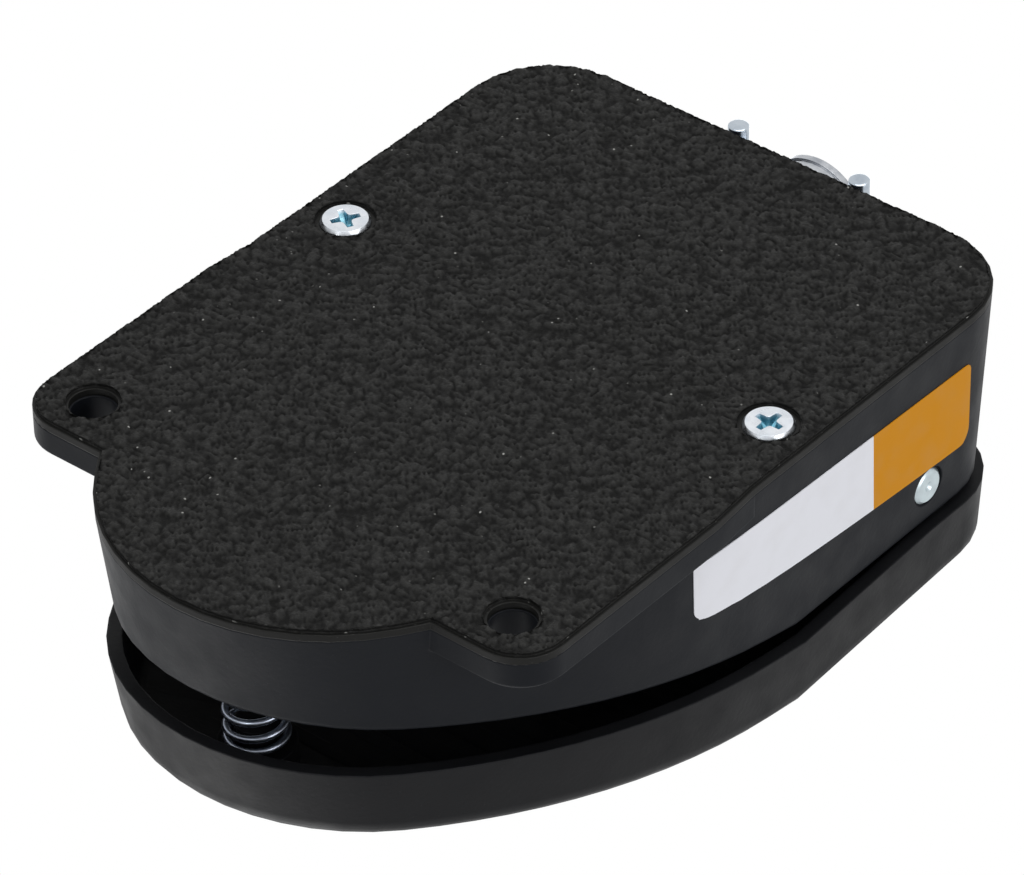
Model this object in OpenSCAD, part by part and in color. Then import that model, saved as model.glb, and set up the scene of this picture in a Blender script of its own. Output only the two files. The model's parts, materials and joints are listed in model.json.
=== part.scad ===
// Industrial foot switch: a cast wedge-shaped housing with a hinged, D-shaped treadle.
// Frame: +Z up from the floor, +Y towards the hinge and cable end, +X to the right.
// The origin lies on the floor, midway between the two floor-mounting holes.

/* [Housing outline] */
// Width across the straight sides of the housing
housing_w = 100.2; // [96:0.2:106]
// Mounting-hole line to the rear wall
rear_reach = 116.3; // [110:0.1:126]
// Mounting-hole line to the tip of the nose
nose_reach = 27.8; // [24:0.2:32]
// Mounting-hole line to the point where the straight sides end
straight_reach = 52; // [46:1:56]
// Radius of the nose arc
nose_r = 36.5; // [30:0.5:40]
// Radius of the two rear corners
rear_corner_r = 15.5; // [9:0.5:18]

/* [Housing height] */
// Floor to the flat top of the housing
housing_h = 37; // [35:0.1:40]
// Fall of the front part of the top, degrees
wedge_angle = 12; // [10:0.1:12.6]
// Mounting-hole line to the bend in the top
bend_reach = 59.5; // [54:0.5:66]
// Thickness of the cast side walls
side_wall = 3.4; // [3:0.1:4]
// Thickness of the cast top wall
top_wall = 3; // [2.6:0.1:3.4]
// Rounding of the top edge
housing_edge_r = 1.2; // [0.6:0.1:2]
// Inward lean of the walls from base to top
housing_draft = 1.9; // [1:0.1:2.4]

/* [Mounting ears] */
// Distance between the two floor-mounting holes
ear_spacing = 82.8; // [78:0.2:86]
// Diameter of the floor-mounting holes
ear_hole_d = 7.14; // [5.5:0.02:8]
// Width over the two ears
ear_w = 102; // [100.6:0.2:110]
// Mounting-hole line to the front edge of the ears
ear_front = 8.2; // [7:0.1:10]
// Corner radius of the ears
ear_corner_r = 8; // [5:0.5:9]
// Thickness of the cast ears
ear_t = 4.8; // [3.5:0.1:7]
// Mounting-hole line to the end of the ear flange
ear_back = 46; // [40:1:54]

/* [Base plate and pad] */
// Thickness of the non-slip pad
pad_t = 0.8; // [0.6:0.1:1.6]
// Distance from the plate edge to the pad edge
pad_margin = 0.5; // [0.3:0.1:1.5]
// Thickness of the sheet-steel base plate
plate_t = 1.2; // [0.9:0.1:1.6]
// Distance from the side of the housing to a cover screw
cover_inset = 7.9; // [7.3:0.1:9.5]
// Mounting-hole line to the cover screws
cover_reach = 59.6; // [56:0.2:66]
// Diameter of the cover-screw heads
cover_head_d = 8.2; // [7:0.1:9]
// Thread diameter of the cover screws
cover_thread_d = 4.16; // [3.4:0.02:4.4]
// Length of the cover screws
cover_screw_l = 12; // [9:0.5:14]

/* [Treadle] */
// Height of the treadle from its rim to its top edge
treadle_h = 14.1; // [13:0.1:16]
// Distance from the housing's base outline in to the treadle rim
treadle_inset = 0.7; // [0:0.1:1.5]
// Thickness of the treadle skirt
treadle_skirt_t = 2.4; // [2:0.1:3.2]
// Inward lean of the skirt from rim to top
treadle_draft = 1; // [0.4:0.1:2]
// Thickness of the treadle top
treadle_top_t = 3; // [2.4:0.1:3.4]
// Gap from housing top to treadle rim when both are parallel
treadle_gap = 0.8; // [0.6:0.1:1.6]
// Rounding of the treadle's top edge
treadle_edge_r = 3.7; // [2:0.1:5]
// Height of the crown in the middle of the treadle
treadle_crown = 1.6; // [0.5:0.1:2.4]
// Rise of the released treadle above parallel, degrees
treadle_lift = 3.5; // [3.4:0.1:4]
// Height of the grip ribs
rib_h = 0.8; // [0.4:0.1:1.2]
// Width of one grip rib
rib_w = 2.4; // [1.6:0.1:3.2]
// Distance from one grip rib to the next
rib_pitch = 7.5; // [6:0.5:12]

/* [Hinge] */
// Mounting-hole line to the pivot pin
pin_reach = 92.2; // [88:0.1:96]
// Depth of the pivot pin below the flat top
pin_depth = 7.5; // [6.5:0.1:8.5]
// Diameter of the pivot pin
pin_d = 6.35; // [5:0.05:7]
// Thickness of each treadle lug
lug_t = 6.5; // [5:0.5:8]
// Radius of the rounded lug end
lug_r = 6.5; // [5.5:0.1:7]

/* [Return spring] */
// Nose side distance of the spring from the mounting-hole line
spring_reach = 11.5; // [9:0.5:14]
// Depth of the spring seat below the housing top
spring_seat_depth = 4.6; // [3.5:0.1:5.5]
// Outer diameter of the spring
spring_d = 10.4; // [8:0.1:12]
// Wire diameter of the spring
spring_wire_d = 1; // [0.7:0.05:1.3]
// Number of turns
spring_turns = 8.5; // [6:0.5:9]

/* [Snap-action switch] */
// Length of the switch case
case_l = 27.8; // [26:0.1:30]
// Width of the switch case
case_w = 10.3; // [9:0.1:12]
// Height of the switch case
case_h = 15.9; // [14:0.1:17]
// Thickness of the case cover
case_cover_t = 1.5; // [1:0.1:2.5]
// Height of the case's underside above the base plate
case_clearance = 2.7; // [2.4:0.1:3.6]
// Lever pivot to the plunger
plunger_arm = 7; // [6:0.5:8]
// Lever pivot to the adjusting screw
screw_arm = 14; // [13:0.5:15]
// Rise of the released lever, degrees
lever_rise = 11.5; // [11:0.1:13]
// Mounting-hole line to the adjusting screw
screw_reach = 50; // [48:0.5:52]
// Thread diameter of the adjusting screw
adjuster_d = 4.16; // [3.4:0.02:5]

/* [Cable connector] */
// Height of the cable axis above the floor
cable_z = 17; // [16.5:0.1:18]
// Diameter of the knockout in the rear wall
knockout_d = 22.2; // [21.4:0.1:22.6]
// Diameter of the connector's cable passage
cable_bore_d = 15.8; // [12:0.1:16.5]
// Distance between the two clamp screws
clamp_spacing = 24.4; // [24:0.2:28]
// Length of the clamp behind the shoulder
clamp_l = 8.9; // [7:0.1:12]
// Thread diameter of the clamp screws
clamp_thread_d = 3.5; // [3:0.1:4]

/* [Hidden] */
$fn = 48;
overcut = 1;
sliver = 0.01;

// Clearances: between seated pieces, between running pieces, and between pieces that only pass.
seat_gap = 0.02;
run_gap = 0.05;
mesh_gap = 0.3;

// Outline: straight sides, a flank arc on each side that runs into the nose arc, round rear corners.
half_w = housing_w / 2;
base_top = pad_t + plate_t;
d_length = nose_reach + straight_reach;
flank_r = (half_w * half_w + d_length * d_length - 2 * nose_r * d_length) / (2 * (half_w - nose_r));
flank_cx = flank_r - half_w;
nose_cy = nose_r - nose_reach;
flank_sweep = atan2(straight_reach - nose_cy, flank_cx);
flank_steps = 12;
nose_steps = 14;
corner_steps = 7;

function arc_points(cx, cy, r, from, to, steps) =
    [for (i = [0:steps]) let (a = from + (to - from) * i / steps) [cx + r * cos(a), cy + r * sin(a)]];

function rear_points(inset) =
    let (cx = half_w - rear_corner_r, cy = rear_reach - rear_corner_r, r = rear_corner_r - inset)
    concat(arc_points(-cx, cy, r, 180, 90, corner_steps), arc_points(cx, cy, r, 90, 0, corner_steps));

// Outline of the housing moved inwards by inset.
function outline_points(inset) = concat(
    arc_points(-flank_cx, straight_reach, flank_r - inset, 0, -flank_sweep, flank_steps),
    arc_points(0, nose_cy, nose_r - inset, -flank_sweep, flank_sweep - 180, nose_steps),
    arc_points(flank_cx, straight_reach, flank_r - inset, flank_sweep - 180, -180, flank_steps),
    rear_points(inset));

// Outline of the plate and pad: the housing outline with the two ears, moved inwards by inset.
ear_taper_l = 10;
ear_corner_steps = 8;
front_steps = 2;
function base_points(inset) =
    let (hw = ear_w / 2 - inset, r = ear_corner_r - inset, front = inset - ear_front,
         notch = min(flank_sweep, asin((straight_reach - front) / (flank_r - inset))))
    concat(
        [[half_w - inset, ear_back], [hw, ear_back - ear_taper_l]],
        arc_points(hw - r, front + r, r, 0, -90, ear_corner_steps),
        arc_points(-flank_cx, straight_reach, flank_r - inset, -notch, -flank_sweep, front_steps),
        arc_points(0, nose_cy, nose_r - inset, -flank_sweep, flank_sweep - 180, nose_steps),
        arc_points(flank_cx, straight_reach, flank_r - inset, flank_sweep - 180, notch - 180, front_steps),
        arc_points(r - hw, front + r, r, -90, -180, ear_corner_steps),
        [[-hw, ear_back - ear_taper_l], [inset - half_w, ear_back]],
        rear_points(inset));

// Height of the housing top above the floor at a distance from the mounting-hole line.
wedge_slope = tan(wedge_angle);
function top_z(y) = housing_h - max(0, bend_reach - y) * wedge_slope;

reach_margin = 6;
front_limit = -nose_reach - reach_margin;
rear_limit = rear_reach + reach_margin;

// Everything below the housing top raised by rise, as a long bar across the housing.
module below_top(rise, floor_z = 0) {
    rotate([90, 0, 90])
        linear_extrude(3 * housing_w, center = true)
            polygon([[front_limit, floor_z], [rear_limit, floor_z], [rear_limit, housing_h + rise],
                     [bend_reach, housing_h + rise], [front_limit, top_z(front_limit) + rise]]);
}

// One upright slice of the housing shape, cut off at the top profile.
module housing_column(inset, drop, floor_z) {
    intersection() {
        translate([0, 0, floor_z])
            linear_extrude(2 * housing_h)
                polygon(outline_points(inset));
        below_top(-drop);
    }
}

// Housing shape with leaning walls and a rounded top edge, moved inwards by inset and down by drop.
edge_steps = 4;
module housing_form(inset, drop, edge, floor_z = base_top) {
    hull() {
        translate([0, 0, floor_z])
            linear_extrude(sliver)
                polygon(outline_points(inset));
        for (i = [0:edge_steps])
            let (a = 90 * i / edge_steps, lean = inset + housing_draft)
                housing_column(lean + edge * (1 - cos(a)), drop + edge * (1 - sin(a)), floor_z);
    }
}

// Half the width of the leaning housing walls at height z.
function wall_x(z) = half_w - housing_draft * (z - base_top) / (housing_h - housing_edge_r - base_top);

// Ear flange in plan: rounded front corners and a rear end that runs out into the sides.
module ear_plan(inset) {
    hw = ear_w / 2 - inset;
    r = ear_corner_r - inset;
    front = inset - ear_front;
    polygon([[-hw, front + r], [hw, front + r], [hw, ear_back - ear_taper_l], [half_w - inset, ear_back],
             [inset - half_w, ear_back], [-hw, ear_back - ear_taper_l]]);
    translate([r - hw, front])
        square([2 * (hw - r), r]);
    for (side = [-1, 1])
        translate([side * (hw - r), front + r])
            circle(r);
}

ear_chamfer = 0.7;
module ear_flange() {
    translate([0, 0, base_top])
        hull() {
            linear_extrude(ear_t - ear_chamfer)
                ear_plan(0);
            linear_extrude(ear_t)
                ear_plan(ear_chamfer);
        }
}

module at_ear_holes() {
    for (side = [-1, 1])
        translate([side * ear_spacing / 2, 0, 0])
            children();
}

module at_cover_screws() {
    for (side = [-1, 1])
        translate([side * (half_w - cover_inset), cover_reach, 0])
            children();
}

module both_sides() {
    for (side = [0, 1])
        mirror([side, 0, 0])
            children();
}

module along_x(x0, x1, y, z) {
    translate([x0, y, z])
        rotate([0, 90, 0])
            linear_extrude(x1 - x0)
                children();
}

// Hinge: the pin crosses the housing, the treadle lugs reach down into two pockets.
pin_z = housing_h - pin_depth;
pin_proud = 0.15;
pin_ring_gap = 0.35;
pin_ring_depth = 0.5;
pocket_gap = 0.9;
pocket_wall = 2.6;
lug_outer_x = half_w - housing_draft - side_wall - pocket_gap;
lug_inner_x = lug_outer_x - lug_t;
pocket_floor_z = pin_z - lug_r - pocket_gap;

module pocket(grow, top) {
    pocket_x0 = lug_inner_x - pocket_gap - grow;
    pocket_x1 = lug_outer_x + pocket_gap + grow;
    pocket_l = 2 * (lug_r + pocket_gap + grow);
    both_sides()
        translate([pocket_x0, pin_reach - pocket_l / 2, pocket_floor_z - grow])
            cube([pocket_x1 - pocket_x0, pocket_l, top - pocket_floor_z + grow]);
}

module about_pin(angle) {
    translate([0, pin_reach, pin_z])
        rotate([angle, 0, 0])
            translate([0, -pin_reach, -pin_z])
                children();
}

// The treadle is drawn parallel to the housing top, then raised to its released place.
module released() {
    about_pin(-treadle_lift)
        children();
}

// Height above the floor that a treadle point drawn at (y, z) has when the treadle is released.
function released_z(y, z) = pin_z + (pin_reach - y) * sin(treadle_lift) + (z - pin_z) * cos(treadle_lift);

// Height at which a treadle point at y is drawn, so that the released treadle has it at height z.
function drawn_z(y, z) = pin_z + (z - pin_z - (pin_reach - y) * sin(treadle_lift)) / cos(treadle_lift);

function treadle_under_z(y) = top_z(y) + treadle_gap + treadle_h - treadle_top_t;

// Return spring between a pocket in the housing and a boss under the treadle.
spring_r = spring_d / 2;
spring_mean_r = (spring_d - spring_wire_d) / 2;
spring_seat_z = top_z(-spring_reach) - spring_seat_depth;
spring_pocket_gap = 0.8;
spring_pocket_r = spring_r + spring_pocket_gap;
spring_boss_wall = 2.2;
spring_boss_floor = 2.4;
spring_boss_drop = 2.2;
spring_head_z = released_z(-spring_reach, treadle_under_z(-spring_reach)) - spring_boss_drop;

// Snap-action switch with its lever, which is pivoted on the switch case.
case_z = base_top + case_clearance;
case_top = case_z + case_h;
pivot_y = screw_reach + screw_arm;
pivot_lift = 1.3;
pivot_z = case_top + pivot_lift;
pivot_rear_l = 2.3;
case_rear_y = pivot_y + pivot_rear_l;
case_front_y = case_rear_y - case_l;
lever_pin_d = 1.1;
knuckle_r = 1.1;
lever_t = 0.5;
lever_w = 5.6;
lever_tip = 2.4;
plunger_r = 1.6;
plunger_depth = 5;
plunger_y = pivot_y - plunger_arm;

// Height of a point arm away from the pivot and offset above the middle line of the raised lever.
function lever_z(arm, offset) = pivot_z + (offset + arm * sin(lever_rise)) / cos(lever_rise);
plunger_end_z = lever_z(plunger_arm, knuckle_r - lever_t - mesh_gap - plunger_r);
web_t = 4.5;
web_margin = 1.4;
switch_hole_r = 1.5;
switch_screw_r = 1.4;
switch_hole_edge = 2.8;
switch_hole_dy = case_l - 2 * switch_hole_edge;
switch_hole_dz = case_h - 2 * switch_hole_edge;

module at_switch_holes() {
    middle_y = case_front_y + case_l / 2;
    for (k = [0, 1])
        translate([0, middle_y + (k - 0.5) * switch_hole_dy, case_z + switch_hole_edge + k * switch_hole_dz])
            rotate([0, 90, 0])
                children();
}

// Adjusting screw in a boss under the treadle, with its round tip just above the lever.
adjuster_r = adjuster_d / 2;
adjuster_hole_gap = 1.6;
adjuster_hole_r = adjuster_r + adjuster_hole_gap;
adjuster_tip_z = drawn_z(screw_reach, lever_z(screw_arm, knuckle_r + mesh_gap + adjuster_r));
adjuster_boss_r = 5.2;
adjuster_boss_drop = 5;
adjuster_boss_z = treadle_under_z(screw_reach) - adjuster_boss_drop;
adjuster_nut_t = 3.2;
adjuster_nut_r = 5;
adjuster_embed = 6;

// Cable connector on the rear wall.
cable_boss_r = 13.6;
cable_boss_proud = 0.4;
connector_face_y = rear_reach + cable_boss_proud;
wall_inner_y = rear_reach - side_wall - housing_draft;
barrel_gap = 0.7;
barrel_r = knockout_d / 2 - barrel_gap;
barrel_end_l = 2;
shoulder_r = 12.5;
shoulder_t = 1.8;
locknut_t = 3;
locknut_r = 13.4;
locknut_gap = 0.1;
clamp_tube_t = 1;
clamp_tube_r = cable_bore_d / 2 + clamp_tube_t;
clamp_y0 = connector_face_y + shoulder_t;
clamp_end_y = clamp_y0 + clamp_l;
clamp_head_r = 2.8;
clamp_head_h = 2.2;
clamp_screw_y = clamp_y0 + clamp_head_r + mesh_gap;
clamp_ear_t = 3;
clamp_ear_r = 3.4;
clamp_ear_drop = 2.5;
clamp_ear_z = cable_z - clamp_ear_drop;
rim_l = 1.2;
rim_proud = 0.3;
saddle_gap = 0.4;
saddle_z = cable_z + saddle_gap;
saddle_t = 1.8;
saddle_l = 5;
clamp_tip_z = 3.2;

module cable_axis(y) {
    translate([0, y, cable_z])
        rotate([-90, 0, 0])
            children();
}

module at_clamp_screws() {
    for (side = [-1, 1])
        translate([side * clamp_spacing / 2, clamp_screw_y, 0])
            children();
}

// Ground screw in a boss under the top wall.
ground_x = -28;
ground_y = 76;
ground_boss_r = 5;
ground_boss_l = 13;
ground_boss_z = housing_h - top_wall - ground_boss_l;
ground_thread_r = 2.08;
ground_depth = 8;
ground_head_r = 4.2;
ground_head_h = 2.4;

// Cover screws with countersunk heads, threaded into bosses of the housing.
head_angle = 41;
head_r = cover_head_d / 2;
head_rim = 0.35;
head_z = pad_t - head_rim;
thread_r = cover_thread_d / 2;
cone_l = (head_r - thread_r) / tan(head_angle);
cover_boss_r = 5.4;
cover_boss_l = 15;

module countersink(gap) {
    translate([0, 0, pad_t])
        cylinder(h = cone_l, r1 = head_r + gap, r2 = thread_r + gap);
}

module switch_web() {
    translate([case_w / 2, case_front_y - web_margin, case_z])
        cube([web_t, case_l + 2 * web_margin, housing_h]);
}

module housing_bosses() {
    intersection() {
        union() {
            at_cover_screws()
                translate([0, 0, base_top])
                    cylinder(h = cover_boss_l, r = cover_boss_r);
            pocket(pocket_wall, housing_h);
            switch_web();
            translate([0, -spring_reach, spring_seat_z - spring_boss_floor])
                cylinder(h = housing_h, r = spring_pocket_r + spring_boss_wall);
            translate([ground_x, ground_y, ground_boss_z])
                cylinder(h = housing_h, r = ground_boss_r);
        }
        housing_form(side_wall / 2, top_wall / 2, housing_edge_r / 2);
    }
}

module housing_shell() {
    difference() {
        union() {
            housing_form(0, 0, housing_edge_r);
            ear_flange();
        }
        housing_form(side_wall, top_wall, housing_edge_r, base_top - overcut);
    }
}

module base_housing() {
    color([0.17, 0.17, 0.18])
        difference() {
            union() {
                housing_shell();
                housing_bosses();
                cable_axis(wall_inner_y)
                    cylinder(h = connector_face_y - wall_inner_y, r = cable_boss_r);
            }
            at_ear_holes()
                translate([0, 0, base_top - overcut])
                    cylinder(h = ear_t + 2 * overcut, d = ear_hole_d);
            at_cover_screws() {
                countersink(run_gap);
                translate([0, 0, base_top - overcut])
                    cylinder(h = cover_screw_l + overcut, r = thread_r + seat_gap);
            }
            translate([0, -spring_reach, spring_seat_z])
                cylinder(h = housing_h, r = spring_pocket_r);
            translate([0, screw_reach, case_top])
                cylinder(h = housing_h, r = adjuster_hole_r);
            pocket(0, housing_h + overcut);
            along_x(-housing_w, housing_w, pin_reach, pin_z)
                circle(r = pin_d / 2 + seat_gap);
            both_sides()
                along_x(wall_x(pin_z) - pin_ring_depth, housing_w, pin_reach, pin_z)
                    circle(r = pin_d / 2 + pin_ring_gap);
            cable_axis(wall_inner_y - overcut)
                cylinder(h = connector_face_y - wall_inner_y + 2 * overcut, d = knockout_d);
            translate([case_w / 2 - overcut, 0, 0])
                at_switch_holes()
                    cylinder(h = web_t + 2 * overcut, r = switch_screw_r + seat_gap);
            translate([ground_x, ground_y, ground_boss_z - overcut])
                cylinder(h = ground_depth + overcut, r = ground_thread_r + seat_gap);
        }
}

plate_hole_gap = 0.25;
module base_plate() {
    color([0.3, 0.3, 0.31])
        difference() {
            translate([0, 0, pad_t])
                linear_extrude(plate_t)
                    polygon(base_points(0));
            at_ear_holes()
                cylinder(h = base_top + overcut, r = ear_hole_d / 2 + plate_hole_gap);
            at_cover_screws() {
                countersink(run_gap);
                translate([0, 0, pad_t - overcut])
                    cylinder(h = plate_t + 2 * overcut, r = thread_r + run_gap);
            }
        }
}

pad_ear_hole_gap = 0.75;
pad_cover_hole_gap = 0.8;
module non_slip_pad() {
    color([0.12, 0.12, 0.11])
        difference() {
            linear_extrude(pad_t)
                polygon(base_points(pad_margin));
            at_ear_holes()
                translate([0, 0, -overcut])
                    cylinder(h = pad_t + 2 * overcut, r = ear_hole_d / 2 + pad_ear_hole_gap);
            at_cover_screws()
                translate([0, 0, -overcut])
                    cylinder(h = pad_t + 2 * overcut, r = head_r + pad_cover_hole_gap);
        }
}

// Cross recess: two crossed slots and a pointed middle, cut upwards from the origin.
recess_point = 1.5;
module cross_recess(span, slot, depth) {
    for (turn = [0, 90])
        rotate([0, 0, turn])
            translate([-span / 2, -slot / 2, -overcut])
                cube([span, slot, depth + overcut]);
    cylinder(h = recess_point * depth, r1 = slot, r2 = 0);
}

module cover_screws() {
    recess_turn = 35;
    recess_share = 0.56;
    recess_span = recess_share * cover_head_d;
    recess_slot = 1.2;
    recess_depth = 1.2;
    color([0.82, 0.84, 0.86])
        at_cover_screws()
            difference() {
                rotate_extrude()
                    polygon([[0, head_z], [head_r, head_z], [head_r, pad_t], [thread_r, pad_t + cone_l],
                             [thread_r, cover_screw_l], [0, cover_screw_l]]);
                translate([0, 0, head_z])
                    rotate([0, 0, recess_turn])
                        cross_recess(recess_span, recess_slot, recess_depth);
            }
}

module insulating_sheet() {
    sheet_w = 46;
    sheet_t = 0.4;
    sheet_margin = 8;
    color([0.45, 0.42, 0.33])
        translate([-sheet_w / 2, case_front_y - sheet_margin, base_top])
            cube([sheet_w, case_l + 2 * sheet_margin, sheet_t]);
}

// Outer form of the treadle: leaning skirt, rounded top edge and a slight crown.
crown_inset = 20;
module treadle_form(inset, drop, edge) {
    hull() {
        translate([0, 0, treadle_gap])
            housing_column(treadle_inset + inset, 0, 0);
        translate([0, 0, treadle_gap + treadle_h]) {
            for (i = [0:edge_steps])
                let (a = 90 * i / edge_steps)
                    housing_column(treadle_inset + treadle_draft + inset + edge * (1 - cos(a)),
                                   drop + edge * (1 - sin(a)), 0);
            translate([0, 0, treadle_crown])
                housing_column(crown_inset, drop, 0);
        }
    }
}

// What lies behind the pin and less than gap above the housing top when the treadle is released.
module heel_space(gap) {
    about_pin(treadle_lift)
        translate([-housing_w, pin_reach, 0])
            cube([2 * housing_w, rear_reach, housing_h + gap]);
}

rib_inset = 9;
rib_margin = 16;
module grip_ribs() {
    intersection() {
        treadle_form(rib_inset, -rib_h, rib_h);
        for (y = [rib_margin - nose_reach:rib_pitch:rear_reach - rib_margin])
            translate([-half_w, y, top_z(y) + treadle_gap + treadle_h - treadle_top_t / 2])
                cube([housing_w, rib_w, treadle_top_t + treadle_crown + rib_h]);
    }
}

stub_gap = 0.7;
stub_l = 4;
spring_flange = 1;
module treadle_lugs() {
    both_sides()
        translate([lug_inner_x, pin_reach - lug_r, pin_z])
            cube([lug_t, 2 * lug_r, housing_h]);
}

module treadle_bosses() {
    translate([0, screw_reach, adjuster_boss_z])
        cylinder(h = housing_h, r = adjuster_boss_r);
    about_pin(treadle_lift)
        translate([0, -spring_reach, spring_head_z]) {
            cylinder(h = housing_h, r = spring_r + spring_flange);
            translate([0, 0, -stub_l])
                cylinder(h = housing_h, r = spring_r - spring_wire_d - stub_gap);
        }
}

heel_stop_x = 28;
heel_stop_in = 9;
heel_stop_r = 3;
heel_rim_gap = 0.8;
module heel_stops() {
    difference() {
        both_sides()
            translate([heel_stop_x, rear_reach - heel_stop_in, pin_z])
                cylinder(h = housing_h, r = heel_stop_r);
        heel_space(mesh_gap);
    }
}

module treadle_shell() {
    difference() {
        treadle_form(0, 0, treadle_edge_r);
        treadle_form(treadle_skirt_t, treadle_top_t, treadle_edge_r / 2);
        below_top(treadle_gap, -housing_h);
        heel_space(heel_rim_gap);
    }
}

module treadle() {
    color([0.16, 0.16, 0.17])
        released()
            difference() {
                union() {
                    treadle_shell();
                    grip_ribs();
                    intersection() {
                        treadle_form(treadle_skirt_t / 2, treadle_top_t / 2, treadle_edge_r / 2);
                        union() {
                            treadle_lugs();
                            treadle_bosses();
                            heel_stops();
                        }
                    }
                    both_sides()
                        along_x(lug_inner_x, lug_outer_x, pin_reach, pin_z)
                            circle(r = lug_r);
                }
                along_x(-housing_w, housing_w, pin_reach, pin_z)
                    circle(r = pin_d / 2 + run_gap);
                translate([0, screw_reach, adjuster_boss_z - overcut])
                    cylinder(h = adjuster_embed + overcut, r = adjuster_r + seat_gap);
            }
}

module pivot_pin() {
    pin_half = wall_x(pin_z) + pin_proud;
    pin_r = pin_d / 2;
    dimple_r = 0.9;
    chamfer = 0.5;
    color([0.75, 0.8, 0.83])
        translate([0, pin_reach, pin_z])
            rotate([0, 90, 0])
                rotate_extrude()
                    polygon([[0, dimple_r - pin_half], [dimple_r, -pin_half], [pin_r - chamfer, -pin_half],
                             [pin_r, chamfer - pin_half], [pin_r, pin_half - chamfer],
                             [pin_r - chamfer, pin_half], [dimple_r, pin_half], [0, pin_half - dimple_r]]);
}

// Coil: rings of points along a helix whose end turns lie almost flat on their seats.
coil_steps = 20;
wire_sides = 6;
end_turn_rise = 0.06;
spring_low_z = spring_seat_z + run_gap + spring_wire_d / 2;
spring_high_z = spring_head_z - run_gap - spring_wire_d / 2;
function coil_share(t) =
    end_turn_rise * (min(t, 1) + max(0, t - spring_turns + 1))
    + (1 - 2 * end_turn_rise) * max(0, min(t - 1, spring_turns - 2)) / (spring_turns - 2);
function coil_z(t) = spring_low_z + (spring_high_z - spring_low_z) * coil_share(t);

module return_spring() {
    rings = round(spring_turns * coil_steps);
    wire_r = spring_wire_d / 2;
    points = [for (i = [0:rings])
                  let (t = i / coil_steps)
                      for (k = [0:wire_sides - 1])
                          let (b = 360 * k / wire_sides, r = spring_mean_r + wire_r * cos(b))
                              [r * cos(360 * t), r * sin(360 * t), coil_z(t) + wire_r * sin(b)]];
    start_cap = [[for (k = [0:wire_sides - 1]) k]];
    end_cap = [[for (k = [wire_sides - 1:-1:0]) rings * wire_sides + k]];
    skin = [for (i = [0:rings - 1])
                for (k = [0:wire_sides - 1])
                    let (n = (k + 1) % wire_sides, a = i * wire_sides, b = a + wire_sides)
                        [a + k, b + k, b + n, a + n]];
    color([0.8, 0.82, 0.85])
        translate([0, -spring_reach, 0])
            polyhedron(points, concat(start_cap, skin, end_cap));
}

module adjusting_screw() {
    color([0.7, 0.72, 0.75])
        released()
            translate([0, screw_reach, adjuster_tip_z]) {
                cylinder(h = adjuster_boss_z + adjuster_embed - adjuster_tip_z, r = adjuster_r);
                sphere(r = adjuster_r);
            }
}

module adjusting_locknut() {
    color([0.7, 0.72, 0.75])
        released()
            translate([0, screw_reach, adjuster_boss_z - adjuster_nut_t])
                difference() {
                    cylinder(h = adjuster_nut_t, r = adjuster_nut_r, $fn = 6);
                    translate([0, 0, -overcut])
                        cylinder(h = adjuster_nut_t + 2 * overcut, r = adjuster_r + seat_gap);
                }
}

// The lever is drawn flat along -Y from its pivot, then raised to its released angle.
module actuating_lever() {
    lever_l = screw_arm + lever_tip;
    color([0.78, 0.8, 0.82])
        translate([0, pivot_y, pivot_z])
            rotate([-lever_rise, 0, 0])
                difference() {
                    union() {
                        along_x(-lever_w / 2, lever_w / 2, 0, 0)
                            circle(r = knuckle_r);
                        translate([-lever_w / 2, -lever_l, knuckle_r - lever_t])
                            cube([lever_w, lever_l, lever_t]);
                    }
                    along_x(-lever_w, lever_w, 0, 0)
                        circle(r = lever_pin_d / 2 + run_gap);
                }
}

hinge_ear_t = 0.8;
hinge_ear_root = 1;
module lever_pin() {
    pin_half = lever_w / 2 + mesh_gap + hinge_ear_t;
    color([0.8, 0.82, 0.84])
        along_x(-pin_half, pin_half, pivot_y, pivot_z)
            circle(d = lever_pin_d);
}

module switch_plunger() {
    color([0.85, 0.2, 0.15])
        translate([0, plunger_y, plunger_end_z]) {
            mirror([0, 0, 1])
                cylinder(h = plunger_end_z - case_top + plunger_depth, r = plunger_r);
            sphere(r = plunger_r);
        }
}

// Two small ears on the switch case hold the lever pin.
module hinge_ears() {
    both_sides()
        along_x(lever_w / 2 + mesh_gap, lever_w / 2 + mesh_gap + hinge_ear_t, pivot_y, pivot_z) {
            circle(r = knuckle_r);
            translate([0, -knuckle_r])
                square([pivot_lift + hinge_ear_root, 2 * knuckle_r]);
        }
}

case_skin_x = case_cover_t - case_w / 2;
plunger_travel_room = 2.4;
module switch_case() {
    color([0.1, 0.1, 0.1])
        difference() {
            union() {
                translate([case_skin_x, case_front_y, case_z])
                    cube([case_w - case_cover_t, case_l, case_h]);
                intersection() {
                    hinge_ears();
                    translate([case_skin_x, 0, case_z])
                        cube([case_w, rear_reach, housing_h]);
                }
            }
            along_x(-case_w, case_w, pivot_y, pivot_z)
                circle(r = lever_pin_d / 2 + seat_gap);
            translate([0, plunger_y, case_top - plunger_depth - plunger_travel_room])
                cylinder(h = housing_h, r = plunger_r + run_gap);
            translate([-case_w, 0, 0])
                at_switch_holes()
                    cylinder(h = 2 * case_w, r = switch_hole_r);
        }
}

module switch_cover() {
    color([0.75, 0.72, 0.65])
        difference() {
            translate([-case_w / 2, case_front_y, case_z])
                cube([case_cover_t, case_l, case_h]);
            translate([-case_w, 0, 0])
                at_switch_holes()
                    cylinder(h = 2 * case_w, r = switch_hole_r);
        }
}

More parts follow.
